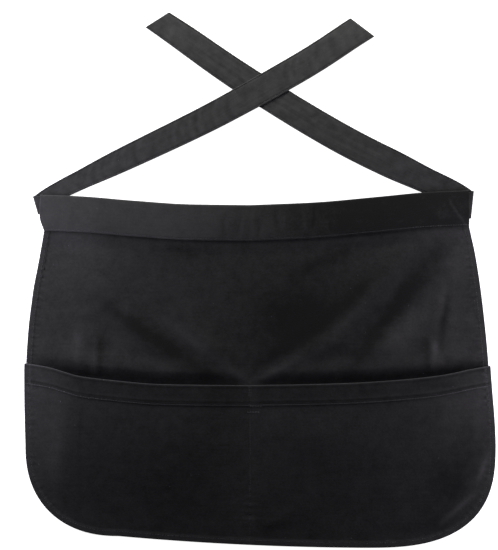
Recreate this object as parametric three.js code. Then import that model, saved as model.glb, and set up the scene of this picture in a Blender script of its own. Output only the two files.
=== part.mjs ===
// A waist apron of black twill, laid flat on its back on the plane z = 0 with its two ties crossed above it.
// X runs to the right as seen from above, Y from the hem up to the ties, Z up from the surface.
// The origin is on the underside of the waistband, at the middle of the band.
import * as THREE from 'three';

// Cloth and clearances, in millimetres
const CLOTH = 1.0;
const HEM_CLOTH = 1.6;
const RIM_CLOTH = 1.9;
const TIE_CLOTH = 1.2;
const GAP = 0.3;
const STEP = 1.0;

// Waistband
const BAND_LEFT = 236.6;
const BAND_RIGHT = 251.6;
const BAND_HEIGHT = 41.5;
const BAND_RISE_LEFT = 11.7;
const BAND_RISE_RIGHT = 17.0;
const BAND_PUFF = 0.8;
const BAND_RAMP = 60;

// Skirt
const SEAM_INSIDE = 5;
const SEAM_SETTLE = 18;
const HEM = 7;
const SKIRT_LENGTH_LEFT = 337;
const SKIRT_LENGTH_RIGHT = 350.5;
const FLARE_LEFT = 20.9;
const FLARE_RIGHT = 28.8;
const CORNER_WIDE_LEFT = 107;
const CORNER_TALL_LEFT = 103;
const CORNER_WIDE_RIGHT = 150;
const CORNER_TALL_RIGHT = 120;
const HEM_BOW = 3;
const FOLD_HEIGHT = 5.5;
const FOLD_FADE = 27;

// Pocket panel, one sheet with a pocket on each side of the middle seam
const POCKET_DEPTH = 178;
const RIM_RISE_LEFT = 25.3;
const RIM_RISE_RIGHT = 23.3;
const RIM_DEPTH = 24;
const PANEL_OVERHANG = 2;
const MOUTH_GAPE = 10;
const DIVIDER_WIDTH = 12;

// Ties
const TIE_WIDTH = 32.2;
const TIE_LENGTH_LEFT = 427;
const TIE_LENGTH_RIGHT = 419.5;
const TIE_INSIDE = 10;
const TIE_WAVE = 1.6;
const TIE_TURN = 50;
const CROSSING_RAMP = 30;

// How far the band's middle line has risen at a share of the way out to each end
const BAND_LINE = [
  { out: 0, left: 0, right: 0 },
  { out: 0.29, left: 0.08, right: 0.18 },
  { out: 0.57, left: 0.45, right: 0.54 },
  { out: 0.82, left: 0.86, right: 0.88 },
  { out: 1, left: 1, right: 1 },
];

// How far each end of the band runs past its lower corner, as a share of the band's height
const BAND_ENDS = [
  { up: 0, left: 0, right: 0 },
  { up: 0.42, left: 0.12, right: 0.01 },
  { up: 1, left: 0.1, right: 0.005 },
];

// Upright wrinkles pressed into the band's front: place as a share of the band's right half,
// width as a share of the band's height, and height as a share of the puff
const BAND_WRINKLES = [
  { at: -0.18, wide: 0.2, high: 0.35 },
  { at: -0.06, wide: 0.14, high: -0.3 },
  { at: 0.0, wide: 0.12, high: 0.4 },
  { at: 0.09, wide: 0.2, high: 0.3 },
  { at: 0.2, wide: 0.16, high: -0.25 },
  { at: 0.3, wide: 0.22, high: 0.35 },
  { at: 0.87, wide: 0.3, high: 0.45 },
];

// Share of the flare that the skirt's side has reached on its way down to the rounded corner
const SIDE_LINE = [
  { down: 0, left: 0, right: 0 },
  { down: 0.12, left: 0.29, right: 0.25 },
  { down: 0.28, left: 0.61, right: 0.46 },
  { down: 0.5, left: 0.91, right: 0.68 },
  { down: 0.66, left: 1, right: 0.8 },
  { down: 0.87, left: 0.97, right: 0.95 },
  { down: 1, left: 0.93, right: 1 },
];

// How square each rounded lower corner is, from 2 for an ellipse upwards
const CORNER_SHAPE = { left: 2.25, right: 2.75 };

// How far the pocket rim has risen at a share of the way out to each side
const RIM_LINE = [
  { out: 0, left: 0, right: 0 },
  { out: 0.4, left: 0.07, right: 0.13 },
  { out: 0.62, left: 0.26, right: 0.3 },
  { out: 0.76, left: 0.44, right: 0.48 },
  { out: 0.83, left: 0.64, right: 0.62 },
  { out: 0.9, left: 0.84, right: 0.8 },
  { out: 1, left: 1, right: 1 },
];

// Share of the mouth's gape from the middle seam out to each side seam
const GAPE_ACROSS = [
  { out: 0, left: 0, right: 0 },
  { out: 0.1, left: 0.5, right: 0.5 },
  { out: 0.25, left: 0.84, right: 0.84 },
  { out: 0.5, left: 0.93, right: 0.96 },
  { out: 0.76, left: 1, right: 1 },
  { out: 0.9, left: 0.52, right: 0.6 },
  { out: 1, left: 0, right: 0 },
];

// Share of the mouth's gape from the rim down to the hem
const GAPE_DOWN = [
  { down: 0, share: 1 },
  { down: 0.3, share: 0.86 },
  { down: 0.6, share: 0.5 },
  { down: 0.85, share: 0.13 },
  { down: 1, share: 0 },
];

// Soft folds of the skirt between band and pocket: both ends as shares of the half width and of the
// open length, the width as a share of the open length, and the height as a share of the highest fold
const SKIRT_FOLDS = [
  { fromOut: -0.02, fromDown: 1.0, toOut: -0.3, toDown: 0.55, wide: 0.1, high: 0.75 },
  { fromOut: -0.28, fromDown: 1.02, toOut: -0.62, toDown: 0.5, wide: 0.13, high: 0.7 },
  { fromOut: -0.7, fromDown: 1.0, toOut: -0.72, toDown: 0.6, wide: 0.09, high: 0.65 },
  { fromOut: 0.04, fromDown: 0.98, toOut: 0.42, toDown: 0.62, wide: 0.13, high: 0.9 },
  { fromOut: 0.3, fromDown: 0.72, toOut: 0.66, toDown: 0.12, wide: 0.12, high: 0.75 },
  { fromOut: 0.42, fromDown: 1.0, toOut: 0.62, toDown: 0.72, wide: 0.16, high: 1.0 },
  { fromOut: 0.74, fromDown: 0.95, toOut: 0.8, toDown: 0.35, wide: 0.1, high: 0.8 },
  { fromOut: 0.88, fromDown: 0.98, toOut: 0.93, toDown: 0.78, wide: 0.05, high: 0.45 },
];

// Course of each tie from the fold at the band's end to its free end: heading above the level, in degrees,
// width as a share of the tie's full width, and lift as a share of the highest wave
const LEFT_TIE_LINE = [
  { along: 0, heading: 39.7, width: 0.62, lift: 0 },
  { along: 0.06, heading: 29, width: 0.65, lift: 0 },
  { along: 0.12, heading: 26, width: 0.69, lift: 0 },
  { along: 0.25, heading: 25.5, width: 0.85, lift: 0.6 },
  { along: 0.4, heading: 25.7, width: 0.93, lift: 0.2 },
  { along: 0.6, heading: 28.4, width: 0.99, lift: 0 },
  { along: 0.8, heading: 30.6, width: 1.02, lift: 0.2 },
  { along: 0.93, heading: 34, width: 1.02, lift: 0.9 },
  { along: 1, heading: 32, width: 1.02, lift: 0.3 },
];
const RIGHT_TIE_LINE = [
  { along: 0, heading: 38.5, width: 0.84, lift: 0 },
  { along: 0.05, heading: 29, width: 0.9, lift: 0 },
  { along: 0.12, heading: 25, width: 0.91, lift: 0 },
  { along: 0.25, heading: 25.5, width: 1.05, lift: 0.8 },
  { along: 0.45, heading: 30, width: 1.07, lift: 0.2 },
  { along: 0.7, heading: 33, width: 1.05, lift: 0 },
  { along: 0.88, heading: 35.4, width: 1, lift: 0.8 },
  { along: 1, heading: 33.5, width: 0.92, lift: 0.3 },
];

// Lean of each tie's fold from upright, and how far its free end is cut off square, in degrees
const LEFT_FOLD_LEAN = 16;
const RIGHT_FOLD_LEAN = 6;
const LEFT_END_CUT = -21;
const RIGHT_END_CUT = -24;

// How closely each sheet is divided
const SKIRT_COLUMNS = 38;
const SKIRT_ROWS = 21;
const PANEL_COLUMNS = 40;
const PANEL_ROWS = 17;
const BAND_COLUMNS = 48;
const TIE_ROWS = 56;
const TIE_COLUMNS = 4;
const CORNER_SHARE = 0.012;

const radians = (degrees) => (degrees * Math.PI) / 180;
const mix = (a, b, t) => a + (b - a) * t;
const clamp01 = (t) => Math.min(1, Math.max(0, t));
const smooth = (t) => clamp01(t) ** 2 * (3 - 2 * clamp01(t));

// Reads a column of a table at a place between its rows, along a monotone cubic
function follow(table, place, key, column) {
  const last = table.length - 1;
  const at = Math.min(Math.max(place, table[0][key]), table[last][key]);
  const slope = (k) => (table[k + 1][column] - table[k][column]) / (table[k + 1][key] - table[k][key]);
  const tangent = (k) => {
    if (k === 0) return slope(0);
    if (k === last) return slope(last - 1);
    const [before, after] = [slope(k - 1), slope(k)];
    return before * after <= 0 ? 0 : (2 * before * after) / (before + after);
  };
  const k = Math.min(Math.max(table.findIndex((row) => row[key] > at) - 1, -1), last - 1);
  const row = k < 0 ? last - 1 : k;
  const span = table[row + 1][key] - table[row][key];
  const t = (at - table[row][key]) / span;
  const [start, end] = [table[row][column], table[row + 1][column]];
  const [rise, fall] = [tangent(row) * span, tangent(row + 1) * span];
  const fromStart = (start * (1 + 2 * t) + rise * t) * (1 - t) ** 2;
  const fromEnd = (end * (3 - 2 * t) + fall * (t - 1)) * t ** 2;
  return fromStart + fromEnd;
}

// The column of a table and the sizes that belong to one side
const sideName = (x) => (x < 0 ? 'left' : 'right');
const bySide = (x, left, right) => (x < 0 ? left : right);

// Closed solid between two grids of points, point(i, j) giving its under and over sides
function sheetGeometry(columns, rows, point) {
  const vertices = [];
  for (let j = 0; j <= rows; j += 1) {
    for (let i = 0; i <= columns; i += 1) {
      const { under, over } = point(i, j);
      vertices.push(under.x, under.y, under.z, over.x, over.y, over.z);
    }
  }
  const underAt = (i, j) => 2 * (j * (columns + 1) + i);
  const overAt = (i, j) => underAt(i, j) + 1;
  const triangles = [];
  const face = (a, b, c, d) => triangles.push(a, b, c, a, c, d);
  for (let j = 0; j < rows; j += 1) {
    for (let i = 0; i < columns; i += 1) {
      face(overAt(i, j), overAt(i, j + 1), overAt(i + 1, j + 1), overAt(i + 1, j));
      face(underAt(i, j), underAt(i + 1, j), underAt(i + 1, j + 1), underAt(i, j + 1));
    }
  }
  for (let i = 0; i < columns; i += 1) {
    face(underAt(i, 0), overAt(i, 0), overAt(i + 1, 0), underAt(i + 1, 0));
    face(underAt(i + 1, rows), overAt(i + 1, rows), overAt(i, rows), underAt(i, rows));
  }
  for (let j = 0; j < rows; j += 1) {
    face(underAt(0, j + 1), overAt(0, j + 1), overAt(0, j), underAt(0, j));
    face(underAt(columns, j), overAt(columns, j), overAt(columns, j + 1), underAt(columns, j + 1));
  }
  const geometry = new THREE.BufferGeometry();
  geometry.setAttribute('position', new THREE.Float32BufferAttribute(vertices, 3));
  geometry.setIndex(triangles);
  return geometry;
}

// Turns a sheet's faces out where its grid runs the other way round
function turnedOver(geometry) {
  const order = geometry.getIndex().array;
  const turned = [];
  for (let k = 0; k < order.length; k += 3) {
    turned.push(order[k], order[k + 2], order[k + 1]);
  }
  geometry.setIndex(turned);
  return geometry;
}

// Waistband: a strip folded in two along its upper edge, with the skirt and the ties' ends between its walls
const BAND_INSIDE = TIE_CLOTH + 2 * GAP;
const BAND_BEND = (CLOTH + BAND_INSIDE) / 2;

function bandMiddle(x) {
  const out = Math.abs(x) / bySide(x, BAND_LEFT, BAND_RIGHT);
  return bySide(x, BAND_RISE_LEFT, BAND_RISE_RIGHT) * follow(BAND_LINE, out, 'out', sideName(x));
}

// A point of the band from its share of the way from end to end and up from the lower edge
function bandPlan(along, up) {
  const left = -BAND_LEFT - BAND_HEIGHT * follow(BAND_ENDS, up, 'up', 'left');
  const right = BAND_RIGHT + BAND_HEIGHT * follow(BAND_ENDS, up, 'up', 'right');
  const x = mix(left, right, along);
  return new THREE.Vector2(x, bandMiddle(x) + BAND_HEIGHT * (up - 0.5));
}

// Ties: course of the part that lies on the surface, from the fold at the band's end
const TIES = {
  left: {
    side: -1,
    end: BAND_LEFT,
    line: LEFT_TIE_LINE,
    length: TIE_LENGTH_LEFT,
    lean: LEFT_FOLD_LEAN,
    cut: LEFT_END_CUT,
  },
  right: {
    side: 1,
    end: BAND_RIGHT,
    line: RIGHT_TIE_LINE,
    length: TIE_LENGTH_RIGHT,
    lean: RIGHT_FOLD_LEAN,
    cut: RIGHT_END_CUT,
  },
};

// Where a tie's fold crosses its middle line, seen as on the right-hand side
function foldCentre(tie) {
  const name = sideName(tie.side);
  const root = TIE_WIDTH * tie.line[0].width;
  const halfRoot = root / 2 / Math.cos(radians(stubTilt(tie)));
  const climb = Math.max(0, -TIE_INSIDE * Math.tan(radians(stubTilt(tie))));
  const top = bandMiddle(tie.side * tie.end) + BAND_HEIGHT / 2 - BAND_BEND - GAP - climb;
  const y = top - halfRoot;
  const reach = [0, 0.5, 1].map((share) => {
    const level = mix(top - 2 * halfRoot, top, share);
    const up = (level - bandMiddle(tie.side * tie.end)) / BAND_HEIGHT + 0.5;
    const bandEnd = tie.end + BAND_HEIGHT * follow(BAND_ENDS, up, 'up', name);
    return bandEnd - (level - y) * Math.tan(radians(tie.lean));
  });
  return new THREE.Vector2(Math.max(...reach) + GAP, y);
}

// The stub inside the band heads so that the fold turns it onto the tie's first heading
function stubTilt(tie) {
  return 2 * (90 - tie.lean) - (180 - tie.line[0].heading);
}

// Middle line of a tie on the surface, as many even steps as asked for
function tieCourse(tie, steps) {
  const points = [foldCentre(tie)];
  const step = tie.length / steps;
  for (let k = 0; k < steps; k += 1) {
    const heading = radians(180 - follow(tie.line, (k + 0.5) / steps, 'along', 'heading'));
    const last = points[k];
    points.push(new THREE.Vector2(last.x + step * Math.cos(heading), last.y + step * Math.sin(heading)));
  }
  return points.map((point) => new THREE.Vector2(point.x * tie.side, point.y));
}

// Share of the left tie's length at which it lies on the right tie, and the half length that lies on it
function findCrossing() {
  const steps = 400;
  const left = tieCourse(TIES.left, steps);
  const right = tieCourse(TIES.right, steps);
  let best = { distance: Infinity, share: 0, other: 0 };
  left.forEach((point, k) => {
    right.forEach((other, n) => {
      const distance = point.distanceTo(other);
      if (distance < best.distance) best = { distance, share: k / steps, other: n / steps };
    });
  });
  const leftHeading = follow(LEFT_TIE_LINE, best.share, 'along', 'heading');
  const rightHeading = follow(RIGHT_TIE_LINE, best.other, 'along', 'heading');
  const angle = radians(leftHeading + rightHeading);
  const wide = TIE_WIDTH * Math.max(...RIGHT_TIE_LINE.map((row) => row.width));
  const half = wide / 2 / Math.sin(angle) + wide / 2 / Math.abs(Math.tan(angle));
  return { share: best.share, rightShare: best.other, half: half + 2 * STEP };
}
const CROSSING = findCrossing();

// Height of a tie's underside over the surface
function tieLift(tie, along) {
  const wave = TIE_WAVE * follow(tie.line, along, 'along', 'lift');
  const share = tie === TIES.left ? CROSSING.share : CROSSING.rightShare;
  const off = Math.abs(along - share) * tie.length;
  const clear = smooth((off - CROSSING.half) / CROSSING_RAMP);
  const over = tie === TIES.left ? (TIE_CLOTH + GAP) * (1 - clear) : 0;
  return wave * clear + over;
}

// Length of the band's end that lies on its tie, found where the tie's lower edge leaves the band
function bandOnTie(tie) {
  const steps = 200;
  const course = tieCourse(tie, steps);
  const index = course.findIndex((point, k) => {
    const width = TIE_WIDTH * follow(tie.line, k / steps, 'along', 'width');
    const heading = radians(follow(tie.line, k / steps, 'along', 'heading'));
    const lower = point.y - width / 2 / Math.cos(heading);
    return lower > bandMiddle(point.x) + BAND_HEIGHT / 2 + GAP;
  });
  return tie.end - Math.abs(course[index].x) + TIE_WIDTH * Math.tan(radians(tie.line[0].heading));
}
const ON_TIE = { left: bandOnTie(TIES.left), right: bandOnTie(TIES.right) };

// Height of the band's underside, which rises where the band lies on a tie
function bandLift(x) {
  const free = bySide(x, BAND_LEFT, BAND_RIGHT) - ON_TIE[sideName(x)];
  return (TIE_CLOTH + GAP) * smooth((Math.abs(x) - free + BAND_RAMP) / BAND_RAMP);
}

// Raise of the band's front wall by its puff and wrinkles, nothing at its edges
function bandRelief(x, up) {
  const arch = Math.max(0, 4 * up * (1 - up));
  const wrinkles = BAND_WRINKLES.map((row) => {
    const off = (x - row.at * BAND_RIGHT) / (row.wide * BAND_HEIGHT);
    return row.high * Math.exp(-off * off);
  });
  return BAND_PUFF * arch * (1 + wrinkles.reduce((sum, value) => sum + value, 0));
}

// Course of the band's cloth round its folded upper edge: share up the band, height and facing of the middle
function bandSection() {
  const wallSteps = 4;
  const bendSteps = 4;
  const top = 1 - (BAND_BEND + CLOTH / 2) / BAND_HEIGHT;
  const section = [];
  for (let k = 0; k <= wallSteps; k += 1) {
    section.push({ up: (top * k) / wallSteps, high: 0, turn: 0, front: false });
  }
  for (let k = 1; k < bendSteps; k += 1) {
    const turn = (Math.PI * k) / bendSteps;
    const up = top + (BAND_BEND * Math.sin(turn)) / BAND_HEIGHT;
    section.push({ up, high: BAND_BEND * (1 - Math.cos(turn)), turn, front: false });
  }
  for (let k = wallSteps; k >= 0; k -= 1) {
    section.push({ up: (top * k) / wallSteps, high: 2 * BAND_BEND, turn: Math.PI, front: true });
  }
  return section;
}

function waistband() {
  const section = bandSection();
  const point = (i, j) => {
    const { up, high, turn, front } = section[j];
    const plan = bandPlan(i / BAND_COLUMNS, up);
    const relief = front ? bandRelief(plan.x, up) : 0;
    const middle = new THREE.Vector3(plan.x, plan.y, bandLift(plan.x) + CLOTH / 2 + high + relief);
    const outward = new THREE.Vector3(0, Math.sin(turn), -Math.cos(turn)).multiplyScalar(CLOTH / 2);
    return { under: middle.clone().add(outward), over: middle.clone().sub(outward) };
  };
  return turnedOver(sheetGeometry(BAND_COLUMNS, section.length - 1, point));
}

// Outline shared by skirt and pocket panel, spread is how far the piece reaches past the skirt's edge
function seamHeight(x) {
  return bandMiddle(x) - BAND_HEIGHT / 2;
}

function cornerOf(side, spread) {
  const wide = bySide(side, CORNER_WIDE_LEFT, CORNER_WIDE_RIGHT);
  const tall = bySide(side, CORNER_TALL_LEFT, CORNER_TALL_RIGHT);
  const table = SIDE_LINE[SIDE_LINE.length - 1][sideName(side)];
  const out = bySide(side, BAND_LEFT, BAND_RIGHT) + bySide(side, FLARE_LEFT, FLARE_RIGHT) * table + spread;
  const low = seamHeight(0) - bySide(side, SKIRT_LENGTH_LEFT, SKIRT_LENGTH_RIGHT) - spread;
  return { out, low, wide, tall, square: CORNER_SHAPE[sideName(side)] };
}

// Length of edge round half of a rounded corner, near enough to space the grid evenly
function halfCorner(side) {
  const { wide, tall } = cornerOf(side, 0);
  return (Math.PI / 8) * (wide + tall);
}

// Side edge from a height down to the corner's start, then round half of the corner
function sideEdge(side, startHeight, spread, share) {
  const corner = cornerOf(side, spread);
  const turnFrom = corner.low + corner.tall;
  const cornerShare = halfCorner(side) / (halfCorner(side) + startHeight - turnFrom);
  const straight = 1 - cornerShare;
  if (share <= straight) {
    const y = mix(startHeight, turnFrom, share / straight);
    const seam = seamHeight(side * bySide(side, BAND_LEFT, BAND_RIGHT));
    const down = (seam - y) / (seam - turnFrom);
    const flare = bySide(side, FLARE_LEFT, FLARE_RIGHT) * follow(SIDE_LINE, down, 'down', sideName(side));
    return new THREE.Vector2(side * (bySide(side, BAND_LEFT, BAND_RIGHT) + flare + spread), y);
  }
  return cornerPoint(side, spread, ((share - straight) / cornerShare) * 0.5);
}

// Point of the rounded corner, turn 0 at its upper end on the side and 1 at its lower end on the hem
function cornerPoint(side, spread, turn) {
  const { out, low, wide, tall, square } = cornerOf(side, spread);
  const angle = (turn * Math.PI) / 2;
  const x = out - wide + wide * Math.cos(angle) ** (2 / square);
  const y = low + tall - tall * Math.sin(angle) ** (2 / square);
  return new THREE.Vector2(side * x, y);
}

// Hem from the middle of the left corner to the middle of the right corner
function hemEdge(spread, share) {
  const left = cornerPoint(-1, spread, 1);
  const right = cornerPoint(1, spread, 1);
  const round = halfCorner(-1) + halfCorner(1) + left.distanceTo(right);
  const leftArc = halfCorner(-1) / round;
  const rightArc = halfCorner(1) / round;
  if (share < leftArc) return cornerPoint(-1, spread, 0.5 + (0.5 * share) / leftArc);
  if (share > 1 - rightArc) return cornerPoint(1, spread, 0.5 + (0.5 * (1 - share)) / rightArc);
  const t = (share - leftArc) / (1 - leftArc - rightArc);
  const bow = 4 * HEM_BOW * t * (1 - t);
  return new THREE.Vector2(mix(left.x, right.x, t), mix(left.y, right.y, t) - bow);
}

// Moves an edge point inwards by a distance, square to the edge
function inset(edge, share, distance, inwards) {
  const near = edge(clamp01(share - CORNER_SHARE / 6));
  const far = edge(clamp01(share + CORNER_SHARE / 6));
  const along = far.sub(near).normalize();
  return edge(share).add(new THREE.Vector2(-along.y, along.x).multiplyScalar(distance * inwards));
}

// Grid of plan points inside four edges, with two rows set back from the sides and the hem
function planGrid(columns, rows, edges) {
  const setBacks = [0, HEM, HEM + STEP];
  const ring = setBacks.length - 1;
  const patch = (u, v) => {
    const back = setBacks[ring];
    const top = edges.top(u, back);
    const hem = inset(edges.hem, u, back, 1);
    const left = inset(edges.left, v, back, 1);
    const right = inset(edges.right, v, back, -1);
    const [topLeft, topRight] = [edges.top(0, back), edges.top(1, back)];
    const [lowLeft, lowRight] = [inset(edges.hem, 0, back, 1), inset(edges.hem, 1, back, 1)];
    const point = top.multiplyScalar(1 - v).addScaledVector(hem, v);
    point.addScaledVector(left, 1 - u).addScaledVector(right, u);
    point.addScaledVector(topLeft, -(1 - u) * (1 - v)).addScaledVector(topRight, -u * (1 - v));
    return point.addScaledVector(lowLeft, -(1 - u) * v).addScaledVector(lowRight, -u * v);
  };
  const margin = (depth) => CORNER_SHARE * (ring - depth);
  const hemShare = (u, fromLeft, fromRight, depth) => {
    if (fromLeft < ring) return (margin(depth) * (fromLeft - depth)) / (ring - depth);
    if (fromRight < ring) return 1 - (margin(depth) * (fromRight - depth)) / (ring - depth);
    return mix(margin(depth), 1 - margin(depth), u);
  };
  const sideShare = (v, fromHem, depth) => {
    if (fromHem < ring) return 1 - (margin(depth) * (fromHem - depth)) / (ring - depth);
    return v * (1 - margin(depth));
  };
  return (i, j) => {
    const [fromLeft, fromRight, fromHem] = [i, columns - i, rows - j];
    const depth = Math.min(fromLeft, fromRight, fromHem, ring);
    const u = clamp01((i - ring) / (columns - 2 * ring));
    const v = clamp01(j / (rows - ring));
    if (depth === ring) return patch(u, v);
    const back = setBacks[depth];
    if (j === 0) return edges.top(fromLeft < fromRight ? 0 : 1, back);
    if (fromHem === depth) return inset(edges.hem, hemShare(u, fromLeft, fromRight, depth), back, 1);
    const share = sideShare(v, fromHem, depth);
    return fromLeft === depth ? inset(edges.left, share, back, 1) : inset(edges.right, share, back, -1);
  };
}

// Skirt
function skirtEdges() {
  const start = (side) => seamHeight(side * bySide(side, BAND_LEFT, BAND_RIGHT)) - STEP;
  const left = (share) => sideEdge(-1, start(-1), 0, share);
  const right = (share) => sideEdge(1, start(1), 0, share);
  const top = (share, back) => {
    const x = mix(left(0).x + back, right(0).x - back, share);
    return new THREE.Vector2(x, seamHeight(x) - STEP);
  };
  return { left, right, top, hem: (share) => hemEdge(0, share) };
}

// Sum of the skirt's soft folds at a place, none of them under the band or the pocket
function foldHeight(x, y) {
  const low = rimHeight(x);
  const open = seamHeight(x) - low;
  const half = bySide(x, BAND_LEFT, BAND_RIGHT) + bySide(x, FLARE_LEFT, FLARE_RIGHT);
  const place = new THREE.Vector2(x, y);
  const total = SKIRT_FOLDS.map((row) => {
    const from = new THREE.Vector2(row.fromOut * half, seamHeight(x) - row.fromDown * open);
    const to = new THREE.Vector2(row.toOut * half, seamHeight(x) - row.toDown * open);
    const run = to.clone().sub(from);
    const t = clamp01(place.clone().sub(from).dot(run) / run.lengthSq());
    const off = place.distanceTo(from.clone().addScaledVector(run, t)) / (row.wide * open);
    return row.high * Math.exp(-off * off) * Math.sin(Math.PI * mix(0.12, 0.88, t));
  }).reduce((sum, value) => sum + value, 0);
  const belowBand = smooth((seamHeight(x) - y) / FOLD_FADE);
  const abovePocket = smooth((y - low - SEAM_SETTLE) / FOLD_FADE);
  return FOLD_HEIGHT * total * belowBand * abovePocket;
}

function skirt() {
  const plan = planGrid(SKIRT_COLUMNS, SKIRT_ROWS - 1, skirtEdges());
  const point = (i, j) => {
    const place = plan(i, Math.max(0, j - 1));
    const inBand = j <= 1;
    if (j === 0) place.y += SEAM_INSIDE + STEP;
    const settle = inBand ? 1 : 1 - smooth((seamHeight(place.x) - STEP - place.y) / SEAM_SETTLE);
    const low = (bandLift(place.x) + CLOTH + GAP) * settle + (inBand ? 0 : foldHeight(place.x, place.y));
    const hem = Math.min(i, SKIRT_COLUMNS - i, SKIRT_ROWS - j) <= 1 && !inBand;
    const under = new THREE.Vector3(place.x, place.y, low);
    const over = new THREE.Vector3(place.x, place.y, low + (hem ? HEM_CLOTH : CLOTH));
    return { under, over };
  };
  return sheetGeometry(SKIRT_COLUMNS, SKIRT_ROWS, point);
}

// Pocket panel
function rimHeight(x) {
  const middle = seamHeight(0) - (SKIRT_LENGTH_LEFT + SKIRT_LENGTH_RIGHT) / 2 + POCKET_DEPTH;
  const half = bySide(x, BAND_LEFT + FLARE_LEFT, BAND_RIGHT + FLARE_RIGHT);
  const rise = follow(RIM_LINE, Math.abs(x) / half, 'out', sideName(x));
  return middle + bySide(x, RIM_RISE_LEFT, RIM_RISE_RIGHT) * rise;
}

function panelEdges() {
  const start = (side) => rimHeight(side * bySide(side, BAND_LEFT + FLARE_LEFT, BAND_RIGHT + FLARE_RIGHT));
  const left = (share) => sideEdge(-1, start(-1), PANEL_OVERHANG, share);
  const right = (share) => sideEdge(1, start(1), PANEL_OVERHANG, share);
  const top = (share, back) => {
    const x = mix(left(0).x + back, right(0).x - back, share);
    return new THREE.Vector2(x, rimHeight(x));
  };
  return { left, right, top, hem: (share) => hemEdge(PANEL_OVERHANG, share) };
}

// Height of the panel's underside: down on the skirt at its seams and standing open at the mouths
function panelUnder(x, y) {
  const half = bySide(x, BAND_LEFT + FLARE_LEFT, BAND_RIGHT + FLARE_RIGHT);
  const across = follow(GAPE_ACROSS, Math.abs(x) / half, 'out', sideName(x));
  const depth = rimHeight(x) - y;
  const down = follow(GAPE_DOWN, depth / POCKET_DEPTH, 'down', 'share');
  const seam = HEM_CLOTH + GAP;
  const aboveHem = smooth((POCKET_DEPTH - depth) / HEM - 3);
  const divider = (HEM_CLOTH - CLOTH) * Math.exp(-((x / DIVIDER_WIDTH) ** 2)) * aboveHem;
  return seam - divider + MOUTH_GAPE * across * down;
}

function pocketPanel() {
  const rimRows = [0, RIM_DEPTH / 2, RIM_DEPTH, RIM_DEPTH + STEP];
  const edges = panelEdges();
  const plan = planGrid(PANEL_COLUMNS, PANEL_ROWS, edges);
  const point = (i, j) => {
    const place = plan(i, j);
    if (j > 0 && j < rimRows.length) {
      place.copy(plan(i, 0));
      place.y -= rimRows[j];
    }
    const hem = Math.min(i, PANEL_COLUMNS - i, PANEL_ROWS - j) <= 1;
    const thick = j < 3 ? RIM_CLOTH : CLOTH;
    const hemmed = hem ? Math.max(thick, HEM_CLOTH) : thick;
    const low = panelUnder(place.x, place.y);
    const under = new THREE.Vector3(place.x, place.y, low);
    return { under, over: new THREE.Vector3(place.x, place.y, low + hemmed) };
  };
  return sheetGeometry(PANEL_COLUMNS, PANEL_ROWS, point);
}

// Tie: a stub inside the band's end, a fold round the band's back wall and a long run on the surface
function tieGeometry(tie) {
  const stubRows = 2;
  const bendRows = 4;
  const runRows = TIE_ROWS - stubRows - bendRows;
  const bend = (TIE_CLOTH + CLOTH + 2 * GAP) / 2;
  const centre = foldCentre(tie);
  const lean = radians(tie.lean);
  const foldLine = new THREE.Vector2(Math.sin(lean), Math.cos(lean));
  const outward = new THREE.Vector2(Math.cos(lean), -Math.sin(lean));
  const tilt = radians(stubTilt(tie)) + lean;
  const course = tieCourse(tie, runRows).map((point) => new THREE.Vector2(point.x * tie.side, point.y));
  const root = TIE_WIDTH * tie.line[0].width;
  const rows = [];
  for (let k = 0; k < stubRows; k += 1) {
    const back = TIE_INSIDE * (1 - k / stubRows);
    const middle = centre.clone().addScaledVector(outward, -back);
    middle.addScaledVector(foldLine, -back * Math.tan(tilt));
    rows.push({ middle, across: foldLine, half: root / 2 / Math.cos(tilt), high: 2 * bend, turn: Math.PI });
  }
  for (let k = 0; k <= bendRows; k += 1) {
    const turn = Math.PI * (1 - k / bendRows);
    const middle = centre.clone().addScaledVector(outward, bend * Math.sin(turn));
    const high = bend * (1 - Math.cos(turn));
    rows.push({ middle, across: foldLine, half: root / 2 / Math.cos(tilt), high, turn });
  }
  for (let k = 1; k <= runRows; k += 1) {
    const along = k / runRows;
    const heading = radians(180 - follow(tie.line, along, 'along', 'heading'));
    const fromFold = tilt * (1 - smooth((along * tie.length) / TIE_TURN));
    const toEnd = radians(tie.cut) * smooth(1 - ((1 - along) * tie.length) / TIE_TURN);
    const square = heading - Math.PI / 2 + fromFold + toEnd;
    const across = new THREE.Vector2(Math.cos(square), Math.sin(square));
    const half = (TIE_WIDTH * follow(tie.line, along, 'along', 'width')) / 2 / Math.cos(fromFold + toEnd);
    rows.push({ middle: course[k], across, half, high: tieLift(tie, along), turn: 0 });
  }
  const point = (i, j) => {
    const { middle, across, half, high, turn } = rows[j];
    const off = mix(-half, half, i / TIE_COLUMNS);
    const plan = middle.clone().addScaledVector(across, off);
    const centreLine = new THREE.Vector3(tie.side * plan.x, plan.y, TIE_CLOTH / 2 + high);
    const facing = new THREE.Vector3(tie.side * outward.x, outward.y, 0).multiplyScalar(Math.sin(turn));
    facing.z = -Math.cos(turn);
    facing.multiplyScalar(TIE_CLOTH / 2);
    return { under: centreLine.clone().add(facing), over: centreLine.clone().sub(facing) };
  };
  const geometry = sheetGeometry(TIE_COLUMNS, TIE_ROWS, point);
  return tie.side < 0 ? geometry : turnedOver(geometry);
}

// Black twill, a little lighter where it is worn and pressed
function twill(shade) {
  return new THREE.MeshStandardMaterial({ color: shade, roughness: 0.85, metalness: 0 });
}

const apron = new THREE.Group();
const addPiece = (name, geometry, shade) => {
  geometry.computeVertexNormals();
  const mesh = new THREE.Mesh(geometry, twill(shade));
  mesh.name = name;
  apron.add(mesh);
};
addPiece('skirt', skirt(), 0x26252b);
addPiece('pocket_panel', pocketPanel(), 0x222126);
addPiece('waistband', waistband(), 0x28282c);
addPiece('left_tie', tieGeometry(TIES.left), 0x2e2e30);
addPiece('right_tie', tieGeometry(TIES.right), 0x2a2a2d);

export default apron;
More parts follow.
